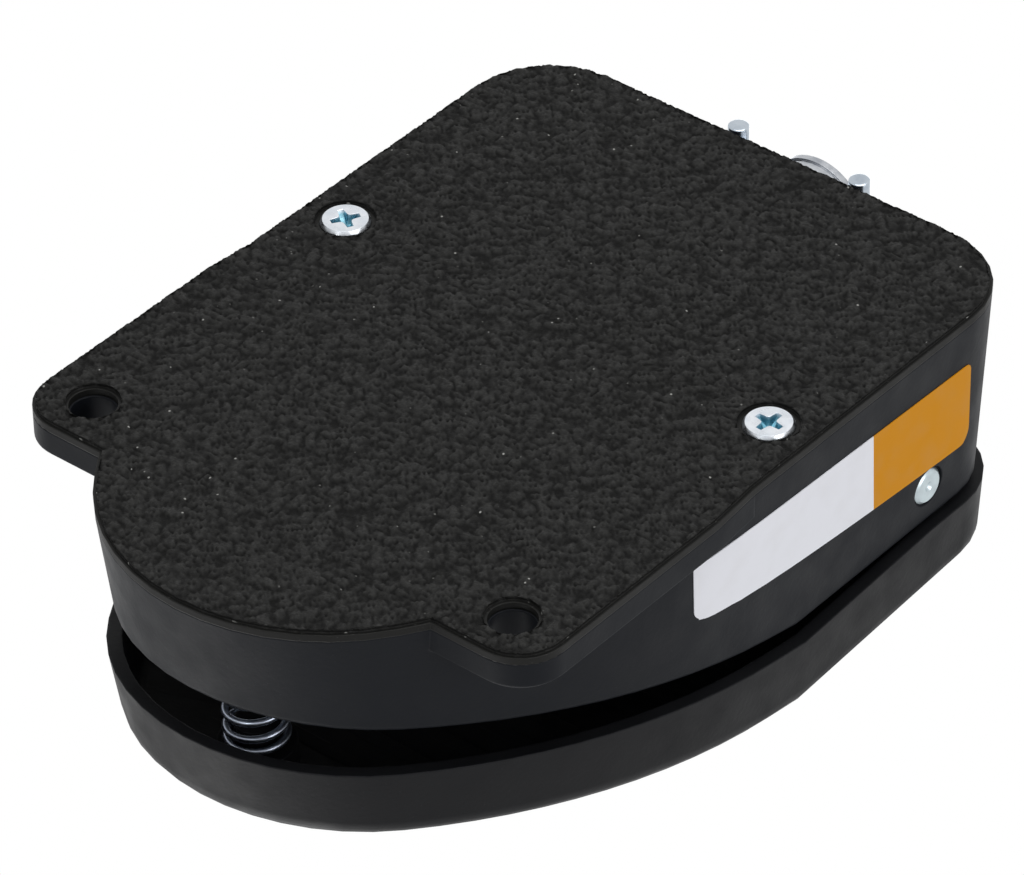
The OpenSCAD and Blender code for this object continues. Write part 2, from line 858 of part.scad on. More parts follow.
terminal_t = 0.8;
terminal_w = 6.3;
terminal_l = 10;
terminal_pitch = 7.8;
terminal_rise = 6.5;
terminal_hole_r = 1.6;
module at_terminals() {
    for (k = [-1, 0, 1])
        translate([-case_w / 2 - terminal_l / 2, case_front_y + case_l / 2 + k * terminal_pitch,
                   case_z + terminal_rise])
            children();
}

module switch_terminals() {
    color([0.8, 0.68, 0.35])
        at_terminals()
            difference() {
                translate([-terminal_l / 2, -terminal_w / 2, 0])
                    cube([terminal_l, terminal_w, terminal_t]);
                translate([0, 0, -overcut])
                    cylinder(h = terminal_t + 2 * overcut, r = terminal_hole_r);
            }
}

module terminal_screws() {
    head_screw_r = 2.8;
    head_screw_h = 1.8;
    screw_end_l = 2;
    slot_w = 0.8;
    slot_depth = 0.8;
    color([0.78, 0.78, 0.76])
        at_terminals()
            difference() {
                union() {
                    translate([0, 0, -screw_end_l])
                        cylinder(h = screw_end_l + terminal_t, r = terminal_hole_r - run_gap);
                    translate([0, 0, terminal_t])
                        cylinder(h = head_screw_h, r = head_screw_r);
                }
                translate([-head_screw_r, -slot_w / 2, terminal_t + head_screw_h - slot_depth])
                    cube([2 * head_screw_r, slot_w, slot_depth + overcut]);
            }
}

module switch_mounting_screws() {
    head_h = 1.8;
    pan_r = 2.6;
    color([0.78, 0.78, 0.76])
        translate([-case_w / 2 - head_h, 0, 0])
            at_switch_holes()
                difference() {
                    union() {
                        cylinder(h = head_h, r = pan_r);
                        cylinder(h = head_h + case_w + web_t, r = switch_screw_r);
                    }
                    cross_recess(pan_r, head_h / 2, head_h / 2);
                }
}

module ground_screw() {
    slot_w = 1.2;
    slot_depth = 1;
    color([0.2, 0.55, 0.25])
        translate([ground_x, ground_y, ground_boss_z - ground_head_h])
            difference() {
                union() {
                    cylinder(h = ground_head_h, r = ground_head_r, $fn = 6);
                    cylinder(h = ground_head_h + ground_depth - overcut, r = ground_thread_r);
                }
                translate([-ground_head_r, -slot_w / 2, -overcut])
                    cube([2 * ground_head_r, slot_w, slot_depth + overcut]);
            }
}

// Lower half of the cable clamp: an open trough with a lip and one threaded ear on each side.
module clamp_trough() {
    difference() {
        union() {
            cable_axis(clamp_y0)
                cylinder(h = clamp_l, r = clamp_tube_r);
            cable_axis(clamp_end_y - rim_l)
                cylinder(h = rim_l, r = clamp_tube_r + rim_proud);
            translate([0, 0, clamp_ear_z - clamp_ear_t / 2])
                linear_extrude(clamp_ear_t) {
                    at_clamp_screws()
                        circle(r = clamp_ear_r);
                    translate([-clamp_spacing / 2, clamp_y0])
                        square([clamp_spacing, clamp_ear_r + clamp_screw_y - clamp_y0]);
                }
        }
        translate([-half_w, clamp_y0, cable_z])
            cube(housing_w);
    }
}

module connector_body() {
    barrel_y = wall_inner_y - locknut_t - barrel_end_l;
    color([0.8, 0.82, 0.83])
        difference() {
            union() {
                cable_axis(barrel_y)
                    cylinder(h = clamp_y0 - barrel_y, r = barrel_r);
                cable_axis(connector_face_y)
                    cylinder(h = shoulder_t, r = shoulder_r);
                clamp_trough();
            }
            cable_axis(0)
                cylinder(h = 2 * rear_reach, d = cable_bore_d);
            at_clamp_screws()
                cylinder(h = cable_z, r = clamp_thread_d / 2 + seat_gap);
        }
}

module connector_locknut() {
    lugs = 6;
    notch_w = 3.2;
    notch_depth = 1.4;
    color([0.72, 0.74, 0.76])
        cable_axis(wall_inner_y - locknut_gap - locknut_t)
            difference() {
                cylinder(h = locknut_t, r = locknut_r);
                translate([0, 0, -overcut])
                    cylinder(h = locknut_t + 2 * overcut, r = barrel_r + locknut_gap);
                for (k = [0:lugs - 1])
                    rotate([0, 0, 360 * k / lugs])
                        translate([locknut_r - notch_depth, -notch_w / 2, -overcut])
                            cube([notch_depth + overcut, notch_w, locknut_t + 2 * overcut]);
            }
}

module clamp_saddle() {
    color([0.76, 0.78, 0.8])
        difference() {
            union() {
                cable_axis(clamp_screw_y - saddle_l / 2)
                    cylinder(h = saddle_l, r = clamp_tube_r);
                translate([-clamp_spacing / 2, clamp_screw_y - saddle_l / 2, saddle_z])
                    cube([clamp_spacing, saddle_l, saddle_t]);
                at_clamp_screws()
                    translate([0, 0, saddle_z])
                        cylinder(h = saddle_t, r = saddle_l / 2);
            }
            cable_axis(0)
                cylinder(h = 2 * rear_reach, d = cable_bore_d);
            translate([-half_w, 0, saddle_z - housing_w])
                cube([housing_w, 2 * rear_reach, housing_w]);
            at_clamp_screws()
                cylinder(h = housing_h, r = clamp_thread_d / 2 + run_gap);
        }
}

module clamp_screws() {
    head_z0 = saddle_z + saddle_t;
    slot_w = 1;
    slot_depth = 1;
    color([0.82, 0.84, 0.86])
        at_clamp_screws()
            difference() {
                union() {
                    translate([0, 0, clamp_tip_z])
                        cylinder(h = head_z0 - clamp_tip_z, r = clamp_thread_d / 2);
                    translate([0, 0, head_z0])
                        cylinder(h = clamp_head_h, r = clamp_head_r);
                }
                translate([-clamp_head_r, -slot_w / 2, head_z0 + clamp_head_h - slot_depth])
                    cube([2 * clamp_head_r, slot_w, slot_depth + overcut]);
            }
}

// Label on the left side wall: a thin skin over the wall, so that it follows the curve.
label_t = 0.12;
label_front = 33.6;
label_l = 66.6;
label_h = 15.4;
label_z = 8.8;
label_tilt = 3.4;
label_corner_r = 2.4;
module label_outline() {
    hull()
        for (x = [label_corner_r - label_l, -label_corner_r])
            for (y = [label_corner_r, label_h - label_corner_r])
                translate([x, y])
                    circle(r = label_corner_r);
}

module side_label() {
    color([0.85, 0.6, 0.2])
        intersection() {
            difference() {
                translate([-label_t, 0, 0])
                    housing_form(0, 0, housing_edge_r);
                housing_form(0, 0, housing_edge_r);
                ear_flange();
            }
            translate([-housing_w, label_front + label_l, label_z])
                rotate([90, 0, 90])
                    rotate([0, 0, label_tilt])
                        linear_extrude(housing_w)
                            label_outline();
        }
}

base_housing();
base_plate();
non_slip_pad();
cover_screws();
insulating_sheet();
treadle();
pivot_pin();
return_spring();
adjusting_screw();
adjusting_locknut();
actuating_lever();
lever_pin();
switch_plunger();
switch_case();
switch_cover();
switch_terminals();
terminal_screws();
switch_mounting_screws();
ground_screw();
connector_body();
connector_locknut();
clamp_saddle();
clamp_screws();
side_label();
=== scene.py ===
"""Looks of an industrial foot switch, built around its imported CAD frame."""

import json
import logging
import math
from dataclasses import dataclass, field
from enum import Enum
from typing import Callable, Iterable, Optional, Sequence, Union

import bmesh
import bpy
from mathutils import Matrix, Vector, noise
from mathutils.bvhtree import BVHTree


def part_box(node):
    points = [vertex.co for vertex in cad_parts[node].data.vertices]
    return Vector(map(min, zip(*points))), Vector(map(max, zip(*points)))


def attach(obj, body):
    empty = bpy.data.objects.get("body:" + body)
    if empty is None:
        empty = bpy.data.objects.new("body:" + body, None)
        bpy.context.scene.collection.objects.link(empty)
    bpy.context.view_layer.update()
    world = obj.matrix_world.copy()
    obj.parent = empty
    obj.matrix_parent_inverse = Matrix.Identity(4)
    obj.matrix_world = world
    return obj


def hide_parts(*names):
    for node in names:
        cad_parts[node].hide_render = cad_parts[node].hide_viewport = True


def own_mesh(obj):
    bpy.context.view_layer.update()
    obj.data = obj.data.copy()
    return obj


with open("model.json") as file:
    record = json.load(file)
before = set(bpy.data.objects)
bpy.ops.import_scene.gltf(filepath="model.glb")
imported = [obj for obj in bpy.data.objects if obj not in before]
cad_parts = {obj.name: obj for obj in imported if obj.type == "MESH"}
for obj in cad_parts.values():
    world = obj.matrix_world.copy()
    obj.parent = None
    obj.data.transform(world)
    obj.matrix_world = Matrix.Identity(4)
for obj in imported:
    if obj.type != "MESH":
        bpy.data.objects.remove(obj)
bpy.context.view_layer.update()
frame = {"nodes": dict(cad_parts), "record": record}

LOG = logging.getLogger("foot_switch")
MM = 0.001
Point = tuple[float, float, float]
Colour = tuple[float, float, float]
Range = tuple[float, float]
Socket = bpy.types.NodeSocket

NOISE_RANGE: Range = (0.3, 0.7)  # where most values of a noise lie
BEVEL_SAMPLES = 6
MIX_COLOURS = (6, 7)  # colour inputs of a Mix node
MIX_RESULT = 2  # colour output of a Mix node
SLICE_TOLERANCE = 1e-7
AXIS_R = 0.02 * MM  # ring that closes a turned piece on its axis


class Body(str, Enum):
    """Moving bodies of the foot switch."""

    BASE = "base"
    TREADLE = "treadle"
    LEVER = "lever"
    PLUNGER = "plunger"


# Materials


class Graph:
    """Node tree of one finish, with short calls for the nodes that the finishes share."""

    def __init__(self, name: str) -> None:
        """Start a material with one Principled shader.

        Args:
            name: Name of the material.
        """
        self.material = bpy.data.materials.new(name)
        self.material.use_nodes = True
        self.nodes = self.material.node_tree.nodes
        self.links = self.material.node_tree.links
        self.shader = self.nodes["Principled BSDF"]
        self.place = self.nodes.new("ShaderNodeTexCoord").outputs["Object"]

    def link(self, start: Socket, end: Socket) -> None:
        """Join two sockets."""
        self.links.new(start, end)

    def feed(self, value: object, socket: Socket) -> None:
        """Set a socket to a number, or join it to another socket.

        Args:
            value: A number, a tuple or an output socket.
            socket: The input socket that takes it.
        """
        if isinstance(value, Socket):
            self.link(value, socket)
        else:
            socket.default_value = value

    def grain(self, size: float, detail: float, rough: float = 0.5) -> Socket:
        """Add fractal noise with features of a given size.

        Args:
            size: Size of the features in metres.
            detail: Number of octaves.
            rough: Weight of the finer octaves.

        Returns:
            The noise value.
        """
        node = self.nodes.new("ShaderNodeTexNoise")
        node.inputs["Scale"].default_value = 1.0 / size
        node.inputs["Detail"].default_value = detail
        node.inputs["Roughness"].default_value = rough
        self.link(self.place, node.inputs["Vector"])
        return node.outputs["Fac"]

    def cells(self, size: float) -> Socket:
        """Add the distance to the nearest of many scattered points.

        Args:
            size: Mean spacing of the points in metres.

        Returns:
            The distance in units of the spacing.
        """
        node = self.nodes.new("ShaderNodeTexVoronoi")
        node.inputs["Scale"].default_value = 1.0 / size
        self.link(self.place, node.inputs["Vector"])
        return node.outputs["Distance"]

    def span(self, value: Socket, low: float, high: float,
             to_low: float = 0.0, to_high: float = 1.0) -> Socket:
        """Map a value from one range to another, held at the ends.

        Args:
            value: The value to map.
            low: Start of its range.
            high: End of its range.
            to_low: What the start becomes.
            to_high: What the end becomes.

        Returns:
            The mapped value.
        """
        node = self.nodes.new("ShaderNodeMapRange")
        node.inputs["From Min"].default_value = low
        node.inputs["From Max"].default_value = high
        node.inputs["To Min"].default_value = to_low
        node.inputs["To Max"].default_value = to_high
        self.link(value, node.inputs["Value"])
        return node.outputs["Result"]

    def spread(self, size: float, detail: float, low: float, high: float) -> Socket:
        """Add fractal noise that runs between two values.

        Args:
            size: Size of the features in metres.
            detail: Number of octaves.
            low: Value where the noise is low.
            high: Value where the noise is high.

        Returns:
            The spread noise.
        """
        return self.span(self.grain(size, detail), *NOISE_RANGE, low, high)

    def specks(self, spacing: float, radius: Range, patch: float, patch_range: Range) -> Socket:
        """Scatter small dots that keep to patches.

        Args:
            spacing: Mean spacing of the dots in metres.
            radius: Where a dot starts and stops fading, in shares of the spacing.
            patch: Size of the patches in metres.
            patch_range: Noise values where a patch starts and is full.

        Returns:
            1 in a dot and 0 elsewhere.
        """
        dots = self.span(self.cells(spacing), *radius, 1.0, 0.0)
        return self.calc("MULTIPLY", dots, self.span(self.grain(patch, 2.0), *patch_range))

    def calc(self, operation: str, first: object, second: object) -> Socket:
        """Combine two values with one arithmetic step.

        Args:
            operation: Name of the step, such as ADD or MULTIPLY.
            first: First value or socket.
            second: Second value or socket.

        Returns:
            The result.
        """
        node = self.nodes.new("ShaderNodeMath")
        node.operation = operation
        self.feed(first, node.inputs[0])
        self.feed(second, node.inputs[1])
        return node.outputs["Value"]

    def blend(self, share: Socket, first: object, second: object) -> Socket:
        """Mix two colours by a share.

        Args:
            share: 0 for the first colour and 1 for the second.
            first: First colour or socket.
            second: Second colour or socket.

        Returns:
            The mixed colour.
        """
        node = self.nodes.new("ShaderNodeMix")
        node.data_type = "RGBA"
        self.link(share, node.inputs["Factor"])
        for value, index in zip((first, second), MIX_COLOURS):
            self.feed((*value, 1.0) if isinstance(value, tuple) else value, node.inputs[index])
        return node.outputs[MIX_RESULT]

    def axis(self, name: str) -> Socket:
        """Give one coordinate of the object's place.

        Args:
            name: X, Y or Z.

        Returns:
            The coordinate in metres.
        """
        node = self.nodes.new("ShaderNodeSeparateXYZ")
        self.link(self.place, node.inputs["Vector"])
        return node.outputs[name]

    def rounded(self, radius: float) -> Socket:
        """Give the surface normal with its sharp edges rounded in shading.

        Args:
            radius: Radius of the edges in metres.

        Returns:
            The rounded normal.
        """
        node = self.nodes.new("ShaderNodeBevel")
        node.samples = BEVEL_SAMPLES
        node.inputs["Radius"].default_value = radius
        return node.outputs["Normal"]

    def edge_share(self, radius: float, low: float, high: float) -> Socket:
        """Give 1 near sharp outer and inner edges and 0 on flat faces.

        Args:
            radius: Reach of an edge in metres.
            low: Turn of the normal at which an edge starts.
            high: Turn of the normal at which it is full.

        Returns:
            The share.
        """
        true_normal = self.nodes.new("ShaderNodeNewGeometry").outputs["Normal"]
        node = self.nodes.new("ShaderNodeVectorMath")
        node.operation = "DOT_PRODUCT"
        self.link(self.rounded(radius), node.inputs[0])
        self.link(true_normal, node.inputs[1])
        return self.span(self.calc("SUBTRACT", 1.0, node.outputs["Value"]), low, high)

    def relief(self, height: Socket, depth: float,
               normal: Optional[Socket] = None) -> Socket:
        """Turn a height from 0 to 1 into a bumped normal.

        Args:
            height: The height value.
            depth: Height of the relief in metres.
            normal: Normal that the bump starts from.

        Returns:
            The bumped normal.
        """
        node = self.nodes.new("ShaderNodeBump")
        node.inputs["Distance"].default_value = depth
        self.link(height, node.inputs["Height"])
        if normal is not None:
            self.link(normal, node.inputs["Normal"])
        return node.outputs["Normal"]

    def set(self, **values: object) -> None:
        """Set the shader's sockets.

        Args:
            values: Numbers, colours or sockets by name, with underscores for spaces.
        """
        for key, value in values.items():
            socket = self.shader.inputs[key.replace("_", " ")]
            if isinstance(value, tuple) and len(value) == 3:
                value = (*value, 1.0)
            self.feed(value, socket)


@dataclass(frozen=True)
class CastEnamel:
    """Satin enamel over a casting, with fine orange peel, dust specks, and sharp edges painted
    lighter, partly as worn paint and partly as a painted highlight.
    """

    name: str
    colour: Colour = (0.0066, 0.0077, 0.0102)
    # Colour of the dust specks and of the edges, where it is partly worn paint and partly a painted
    # highlight.
    dust_wear_and_edge_highlight: Colour = (0.021, 0.022, 0.027)
    gloss_low: float = 0.38
    gloss_high: float = 0.52
    specular: float = 0.105
    peel: float = 0.9 * MM
    peel_depth: float = 0.030 * MM
    edge: float = 0.45 * MM
    edge_range: Range = (0.05, 0.30)
    # Size of the patches of edge wear and painted edge highlight.
    edge_wear_and_highlight: float = 2.5 * MM
    mottle: float = 14 * MM
    mottle_gain: float = 1.25
    dust: float = 0.5 * MM
    dust_range: Range = (0.72, 0.80)
    dust_share: float = 0.5
    smear: float = 6 * MM

    def material(self) -> bpy.types.Material:
        """Build the material of this finish.

        Returns:
            The material.
        """
        g = Graph(self.name)
        lighter = tuple(self.mottle_gain * c for c in self.colour)
        mottled = g.blend(g.grain(self.mottle, 3.0), self.colour, lighter)
        speck = g.span(g.grain(self.dust, 1.0), *self.dust_range)
        dusty = g.blend(g.calc("MULTIPLY", speck, self.dust_share), mottled, self.dust_wear_and_edge_highlight)
        # Painted highlight: sharp edges turn lighter in patches, partly worn paint and partly light
        # caught on the edges.
        edges = g.edge_share(self.edge, *self.edge_range)
        edge_wear_and_highlight = g.calc("MULTIPLY", edges, g.grain(self.edge_wear_and_highlight, 4.0))
        peel = g.grain(self.peel, 4.0, 0.6)
        g.set(Base_Color=g.blend(edge_wear_and_highlight, dusty, self.dust_wear_and_edge_highlight),
              Roughness=g.spread(self.smear, 4.0, self.gloss_low, self.gloss_high),
              Specular_IOR_Level=self.specular,
              Normal=g.relief(peel, self.peel_depth, g.rounded(self.edge)))
        return g.material


@dataclass(frozen=True)
class GrainedRubber:
    """Matt black rubber whose coarse grain is in the mesh, with painted shade in the grain's
    valleys, fine tooth and light specks.
    """

    name: str
    # The valley colour is painted shade deep in the grain; the ridge colour is the rubber at the
    # top of the grain.
    shaded_valley: Colour = (0.0045, 0.0045, 0.0043)
    ridge: Colour = (0.0193, 0.0193, 0.0184)
    speck: Colour = (0.42, 0.42, 0.40)
    depth: float = 0.50 * MM
    grain_range: Range = (0.10, 0.75)
    side_range: Range = (1.02, 1.10)
    side_tone: float = 0.7
    pore: float = 0.55 * MM
    pore_range: Range = (0.30, 0.56)
    pore_tone: float = 0.35
    dust: float = 2.6 * MM
    dust_radius: Range = (0.055, 0.085)
    dust_patch: float = 9 * MM
    dust_patch_range: Range = (0.50, 0.58)
    dust_share: float = 0.8
    fray: float = 1.7 * MM
    fray_radius: Range = (0.16, 0.22)
    fray_patch: float = 7 * MM
    fray_patch_range: Range = (0.50, 0.56)
    shine_low: float = 0.08
    shine_high: float = 0.20
    smear: float = 1.2 * MM
    gloss_low: float = 0.42
    gloss_high: float = 0.62
    tooth: float = 0.45 * MM
    tooth_depth: float = 0.16 * MM

    def material(self) -> bpy.types.Material:
        """Build the material of this finish.

        Returns:
            The material.
        """
        g = Graph(self.name)
        z = g.axis("Z")
        # Painted shade: the colour darkens from ridge to valley as the grain goes deeper into the
        # pad.
        near, far = (share * self.depth for share in self.grain_range)
        height = g.span(z, near, far, 1.0, 0.0)
        near, far = (share * self.depth for share in self.side_range)
        side = g.span(z, near, far, 0.0, self.side_tone)
        pores = g.span(g.grain(self.pore, 3.0, 0.6), *self.pore_range, self.pore_tone, 1.0)
        tone = g.calc("MAXIMUM", g.calc("MULTIPLY", height, pores), side)
        dust = g.specks(self.dust, self.dust_radius, self.dust_patch, self.dust_patch_range)
        fray = g.specks(self.fray, self.fray_radius, self.fray_patch, self.fray_patch_range)
        fleck = g.calc("MAXIMUM", g.calc("MULTIPLY", dust, self.dust_share),
                       g.calc("MULTIPLY", fray, side))
        g.set(Base_Color=g.blend(fleck, g.blend(tone, self.shaded_valley, self.ridge), self.speck),
              Roughness=g.spread(self.smear, 3.0, self.gloss_low, self.gloss_high),
              Specular_IOR_Level=g.span(tone, 0.0, 1.0, self.shine_low, self.shine_high),
              Normal=g.relief(g.grain(self.tooth, 3.0, 0.6), self.tooth_depth))
        return g.material


@dataclass(frozen=True)
class BrightMetal:
    """Plated or drawn metal with faint stains and fine lines."""

    name: str
    colour: Colour
    stain: Colour
    gloss_low: float = 0.16
    gloss_high: float = 0.34
    smear: float = 1.4 * MM
    stain_size: float = 2.2 * MM
    stain_range: Range = (0.35, 0.75)
    line_size: float = 0.5 * MM
    line_depth: float = 0.006 * MM
    edge: float = 0.12 * MM
    pit: Optional[Colour] = None
    pit_place: Range = (42.2 * MM, 59.6 * MM)
    pit_r: float = 2.9 * MM
    pit_fade: float = 1.05
    pit_range: Range = (0.15 * MM, 0.75 * MM)

    def material(self) -> bpy.types.Material:
        """Build the material of this finish.

        Returns:
            The material.
        """
        g = Graph(self.name)
        stained = g.span(g.grain(self.stain_size, 4.0), *self.stain_range)
        tone = g.blend(stained, self.colour, self.stain)
        if self.pit:
            x = g.calc("SUBTRACT", g.calc("ABSOLUTE", g.axis("X"), 0.0), self.pit_place[0])
            y = g.calc("SUBTRACT", g.axis("Y"), self.pit_place[1])
            squares = g.calc("ADD", g.calc("MULTIPLY", x, x), g.calc("MULTIPLY", y, y))
            radius = g.calc("SQRT", squares, 0.0)
            inside = g.span(radius, self.pit_r, self.pit_fade * self.pit_r, 1.0, 0.0)
            share = g.calc("MULTIPLY", inside, g.span(g.axis("Z"), *self.pit_range))
            tone = g.blend(share, tone, self.pit)
        drawn = g.grain(self.line_size, 3.0, 0.6)
        g.set(Base_Color=tone,
              Metallic=1.0,
              Roughness=g.spread(self.smear, 4.0, self.gloss_low, self.gloss_high),
              Normal=g.relief(drawn, self.line_depth, g.rounded(self.edge)))
        return g.material


@dataclass(frozen=True)
class Moulding:
    """Moulded plastic or fibre with slight mottling and a soft texture."""

    name: str
    colour: Colour
    shade: Colour
    gloss_low: float = 0.35
    gloss_high: float = 0.5
    mottle: float = 4 * MM
    smear: float = 2 * MM
    tooth: float = 0.4 * MM
    tooth_depth: float = 0.02 * MM
    edge: float = 0.2 * MM

    def material(self) -> bpy.types.Material:
        """Build the material of this finish.

        Returns:
            The material.
        """
        g = Graph(self.name)
        g.set(Base_Color=g.blend(g.grain(self.mottle, 4.0), self.colour, self.shade),
              Roughness=g.spread(self.smear, 3.0, self.gloss_low, self.gloss_high),
              Normal=g.relief(g.grain(self.tooth, 3.0), self.tooth_depth, g.rounded(self.edge)))
        return g.material


@dataclass(frozen=True)
class TwoToneFilm:
    """Satin label film: a plain orange field towards the hinge and a plain white one in front."""

    name: str
    orange: Colour = (0.70, 0.285, 0.004)
    white: Colour = (0.93, 0.94, 1.0)
    seam_y: float = 74.96 * MM
    seam_slope: float = 0.102
    seam_blur: float = 0.03 * MM
    soil: Colour = (0.45, 0.42, 0.38)
    soil_size: float = 5 * MM
    soil_range: Range = (0.45, 0.80)
    soil_share: float = 0.08
    smear: float = 3 * MM
    gloss_low: float = 0.30
    gloss_high: float = 0.42
    specular: float = 0.05
    wave: float = 1.5 * MM
    wave_depth: float = 0.012 * MM

    def material(self) -> bpy.types.Material:
        """Build the material of this finish.

        Returns:
            The material.
        """
        g = Graph(self.name)
        across = g.calc("SUBTRACT", g.axis("Y"), g.calc("MULTIPLY", g.axis("Z"), self.seam_slope))
        rear = g.span(across, self.seam_y - self.seam_blur, self.seam_y + self.seam_blur)
        soil = g.span(g.grain(self.soil_size, 5.0), *self.soil_range)
        g.set(Base_Color=g.blend(g.calc("MULTIPLY", soil, self.soil_share),
                                 g.blend(rear, self.white, self.orange), self.soil),
              Roughness=g.spread(self.smear, 3.0, self.gloss_low, self.gloss_high),
              Specular_IOR_Level=self.specular,
              Normal=g.relief(g.grain(self.wave, 3.0), self.wave_depth))
        return g.material


Finish = Union[CastEnamel, GrainedRubber, BrightMetal, Moulding, TwoToneFilm]

FINISHES: dict[str, Finish] = {
    "housing_paint": CastEnamel("housing_enamel"),
    "treadle_paint": CastEnamel("treadle_enamel", (0.0072, 0.0075, 0.0086)),
    # The plate's edges take a much lighter colour: a painted highlight line along the plate edge,
    # partly worn paint.
    "plate_paint": CastEnamel("plate_enamel", (0.0085, 0.0085, 0.0080), (0.06, 0.06, 0.056),
                              specular=0.15, peel_depth=0.012 * MM, edge=0.25 * MM),
    "pad_rubber": GrainedRubber("pad_rubber"),
    "zinc_screws": BrightMetal("zinc_plate", (0.60, 0.66, 0.72), (0.42, 0.48, 0.55), 0.10, 0.24),
    "recessed_zinc": BrightMetal("recessed_zinc", (0.84, 0.87, 0.91), (0.68, 0.73, 0.79),
                                 0.22, 0.40, pit=(0.22, 0.42, 0.50)),
    "pin_steel": BrightMetal("pin_plate", (0.62, 0.71, 0.74), (0.50, 0.57, 0.60), 0.28, 0.45),
    "spring_steel": BrightMetal("spring_wire", (0.52, 0.58, 0.68), (0.40, 0.44, 0.53),
                                0.30, 0.36, line_size=0.2 * MM),
    "connector_zinc": BrightMetal("die_cast_zinc", (0.60, 0.62, 0.65), (0.36, 0.38, 0.42),
                                  0.12, 0.30, line_size=1.2 * MM, line_depth=0.02 * MM),
    "steel_parts": BrightMetal("plain_steel", (0.55, 0.56, 0.58), (0.38, 0.39, 0.41), 0.25, 0.42),
    "fibre_sheet": Moulding("fibre_sheet", (0.24, 0.20, 0.12), (0.15, 0.12, 0.07), 0.6, 0.8),
    "switch_plastic": Moulding("switch_case_plastic", (0.012, 0.012, 0.013), (0.02, 0.02, 0.022)),
    "cover_plastic": Moulding("switch_cover_plastic", (0.50, 0.44, 0.33), (0.40, 0.35, 0.26)),
    "plunger_plastic": Moulding("plunger_plastic", (0.55, 0.03, 0.02), (0.42, 0.02, 0.015),
                                0.2, 0.3),
    "terminal_brass": BrightMetal("terminal_brass", (0.66, 0.46, 0.15), (0.46, 0.30, 0.10),
                                  0.22, 0.38),
    "ground_green": BrightMetal("green_plate", (0.05, 0.30, 0.09), (0.03, 0.18, 0.06), 0.3, 0.45),
    "label_film": TwoToneFilm("label_film"),
}


class Paintshop:
    """Makes each finish once and gives it to nodes and pieces."""

    def __init__(self) -> None:
        """Read which node takes which slot."""
        self.made: dict[str, bpy.types.Material] = {}
        self.slots = {row["node"]: row["material_slot"] for row in frame["record"]["subparts"]}

    def finish(self, slot: str) -> bpy.types.Material:
        """Give the material of a slot, made on first use.

        Args:
            slot: Name of the record's material slot.

        Returns:
            The material.
        """
        if slot not in self.made:
            self.made[slot] = FINISHES[slot].material()
        return self.made[slot]

    def dress_nodes(self) -> None:
        """Give every CAD node the material of its slot."""
        for node, slot in self.slots.items():
            for holder in frame["nodes"][node].material_slots:
                holder.material = self.finish(slot)
            LOG.info("node %s takes %s", node, slot)

    def dress(self, piece: bpy.types.Object, slot: str, finish: Optional[str] = None) -> None:
        """Give a new piece the material of a slot, or another finish of the same stuff.

        Args:
            piece: The piece.
            slot: Name of the record's material slot.
            finish: Name of the finish, where it isn't the slot's own.
        """
        piece.data.materials.clear()
        piece.data.materials.append(self.finish(finish or slot))


# Mesh helpers


def mesh_piece(name: str, mesh: bmesh.types.BMesh,
               smooth_angle: Optional[float] = None) -> bpy.types.Object:
    """Turn a bmesh into an object in the scene.

    Args:
        name: Name of the piece.
        mesh: The bmesh, which is used up.
        smooth_angle: Faces that meet at less than this many degrees shade as one. When it is
            left out, all faces are flat.

    Returns:
        The new object.
    """
    bmesh.ops.recalc_face_normals(mesh, faces=mesh.faces)
    data = bpy.data.meshes.new(name)
    limit = math.radians(smooth_angle or 0.0)
    for face in mesh.faces:
        face.smooth = smooth_angle is not None
    for edge in mesh.edges:
        edge.smooth = len(edge.link_faces) != 2 or edge.calc_face_angle(0.0) < limit
    mesh.to_mesh(data)
    mesh.free()
    piece = bpy.data.objects.new(name, data)
    bpy.context.scene.collection.objects.link(piece)
    return piece


def add_loft(mesh: bmesh.types.BMesh, rings: Sequence[Sequence[Point]]) -> None:
    """Add a closed skin over rings of points that all have the same count.

    Args:
        mesh: The bmesh that takes the skin.
        rings: The rings in order. The first and last get a face.
    """
    made = [[mesh.verts.new(p) for p in ring] for ring in rings]
    for low, high in zip(made, made[1:]):
        for k in range(len(low)):
            n = (k + 1) % len(low)
            mesh.faces.new((low[k], low[n], high[n], high[k]))
    mesh.faces.new(list(reversed(made[0])))
    mesh.faces.new(made[-1])


def lathe_rings(profile: Iterable[Range], centre: Point, sides: int) -> list[list[Point]]:
    """Give rings about an upright axis.

    Args:
        profile: Radius and height of each ring in metres.
        centre: Point that the axis goes through, and from which heights count.
        sides: Points in a ring.

    Returns:
        The rings.
    """
    turns = [2 * math.pi * k / sides for k in range(sides)]
    return [[(centre[0] + r * math.cos(t), centre[1] + r * math.sin(t), centre[2] + z)
             for t in turns] for r, z in profile]


def thread_rings(radius: float, depth: float, pitch: float, low: float, high: float,
                 centre: Point, sides: int, fade: float = 0.8 * MM, crest: float = 0.8,
                 steps: int = 6) -> list[list[Point]]:
    """Give rings of a screw thread about an upright axis.

    Args:
        radius: Outer radius in metres.
        depth: Depth of the thread.
        pitch: Rise of one turn.
        low: Height of the first ring.
        high: Height of the last ring.
        centre: Point on the axis from which heights count.
        sides: Points in a ring.
        fade: Length over which the thread runs out at each end.
        crest: Power that shapes the groove; below 1 the crests are sharper.
        steps: Rings in one pitch.

    Returns:
        The rings.
    """
    count = max(2, round((high - low) / (pitch / steps)))
    rings = []
    for i in range(count + 1):
        z = low + (high - low) * i / count
        share = min(1.0, (z - low) / fade, (high - z) / fade)
        ring = []
        for k in range(sides):
            turn = 2 * math.pi * k / sides
            phase = (z / pitch - k / sides) % 1.0
            r = radius - depth * share * (1 - abs(2 * phase - 1)) ** crest
            ring.append((centre[0] + r * math.cos(turn), centre[1] + r * math.sin(turn),
                         centre[2] + z))
        rings.append(ring)
    return rings


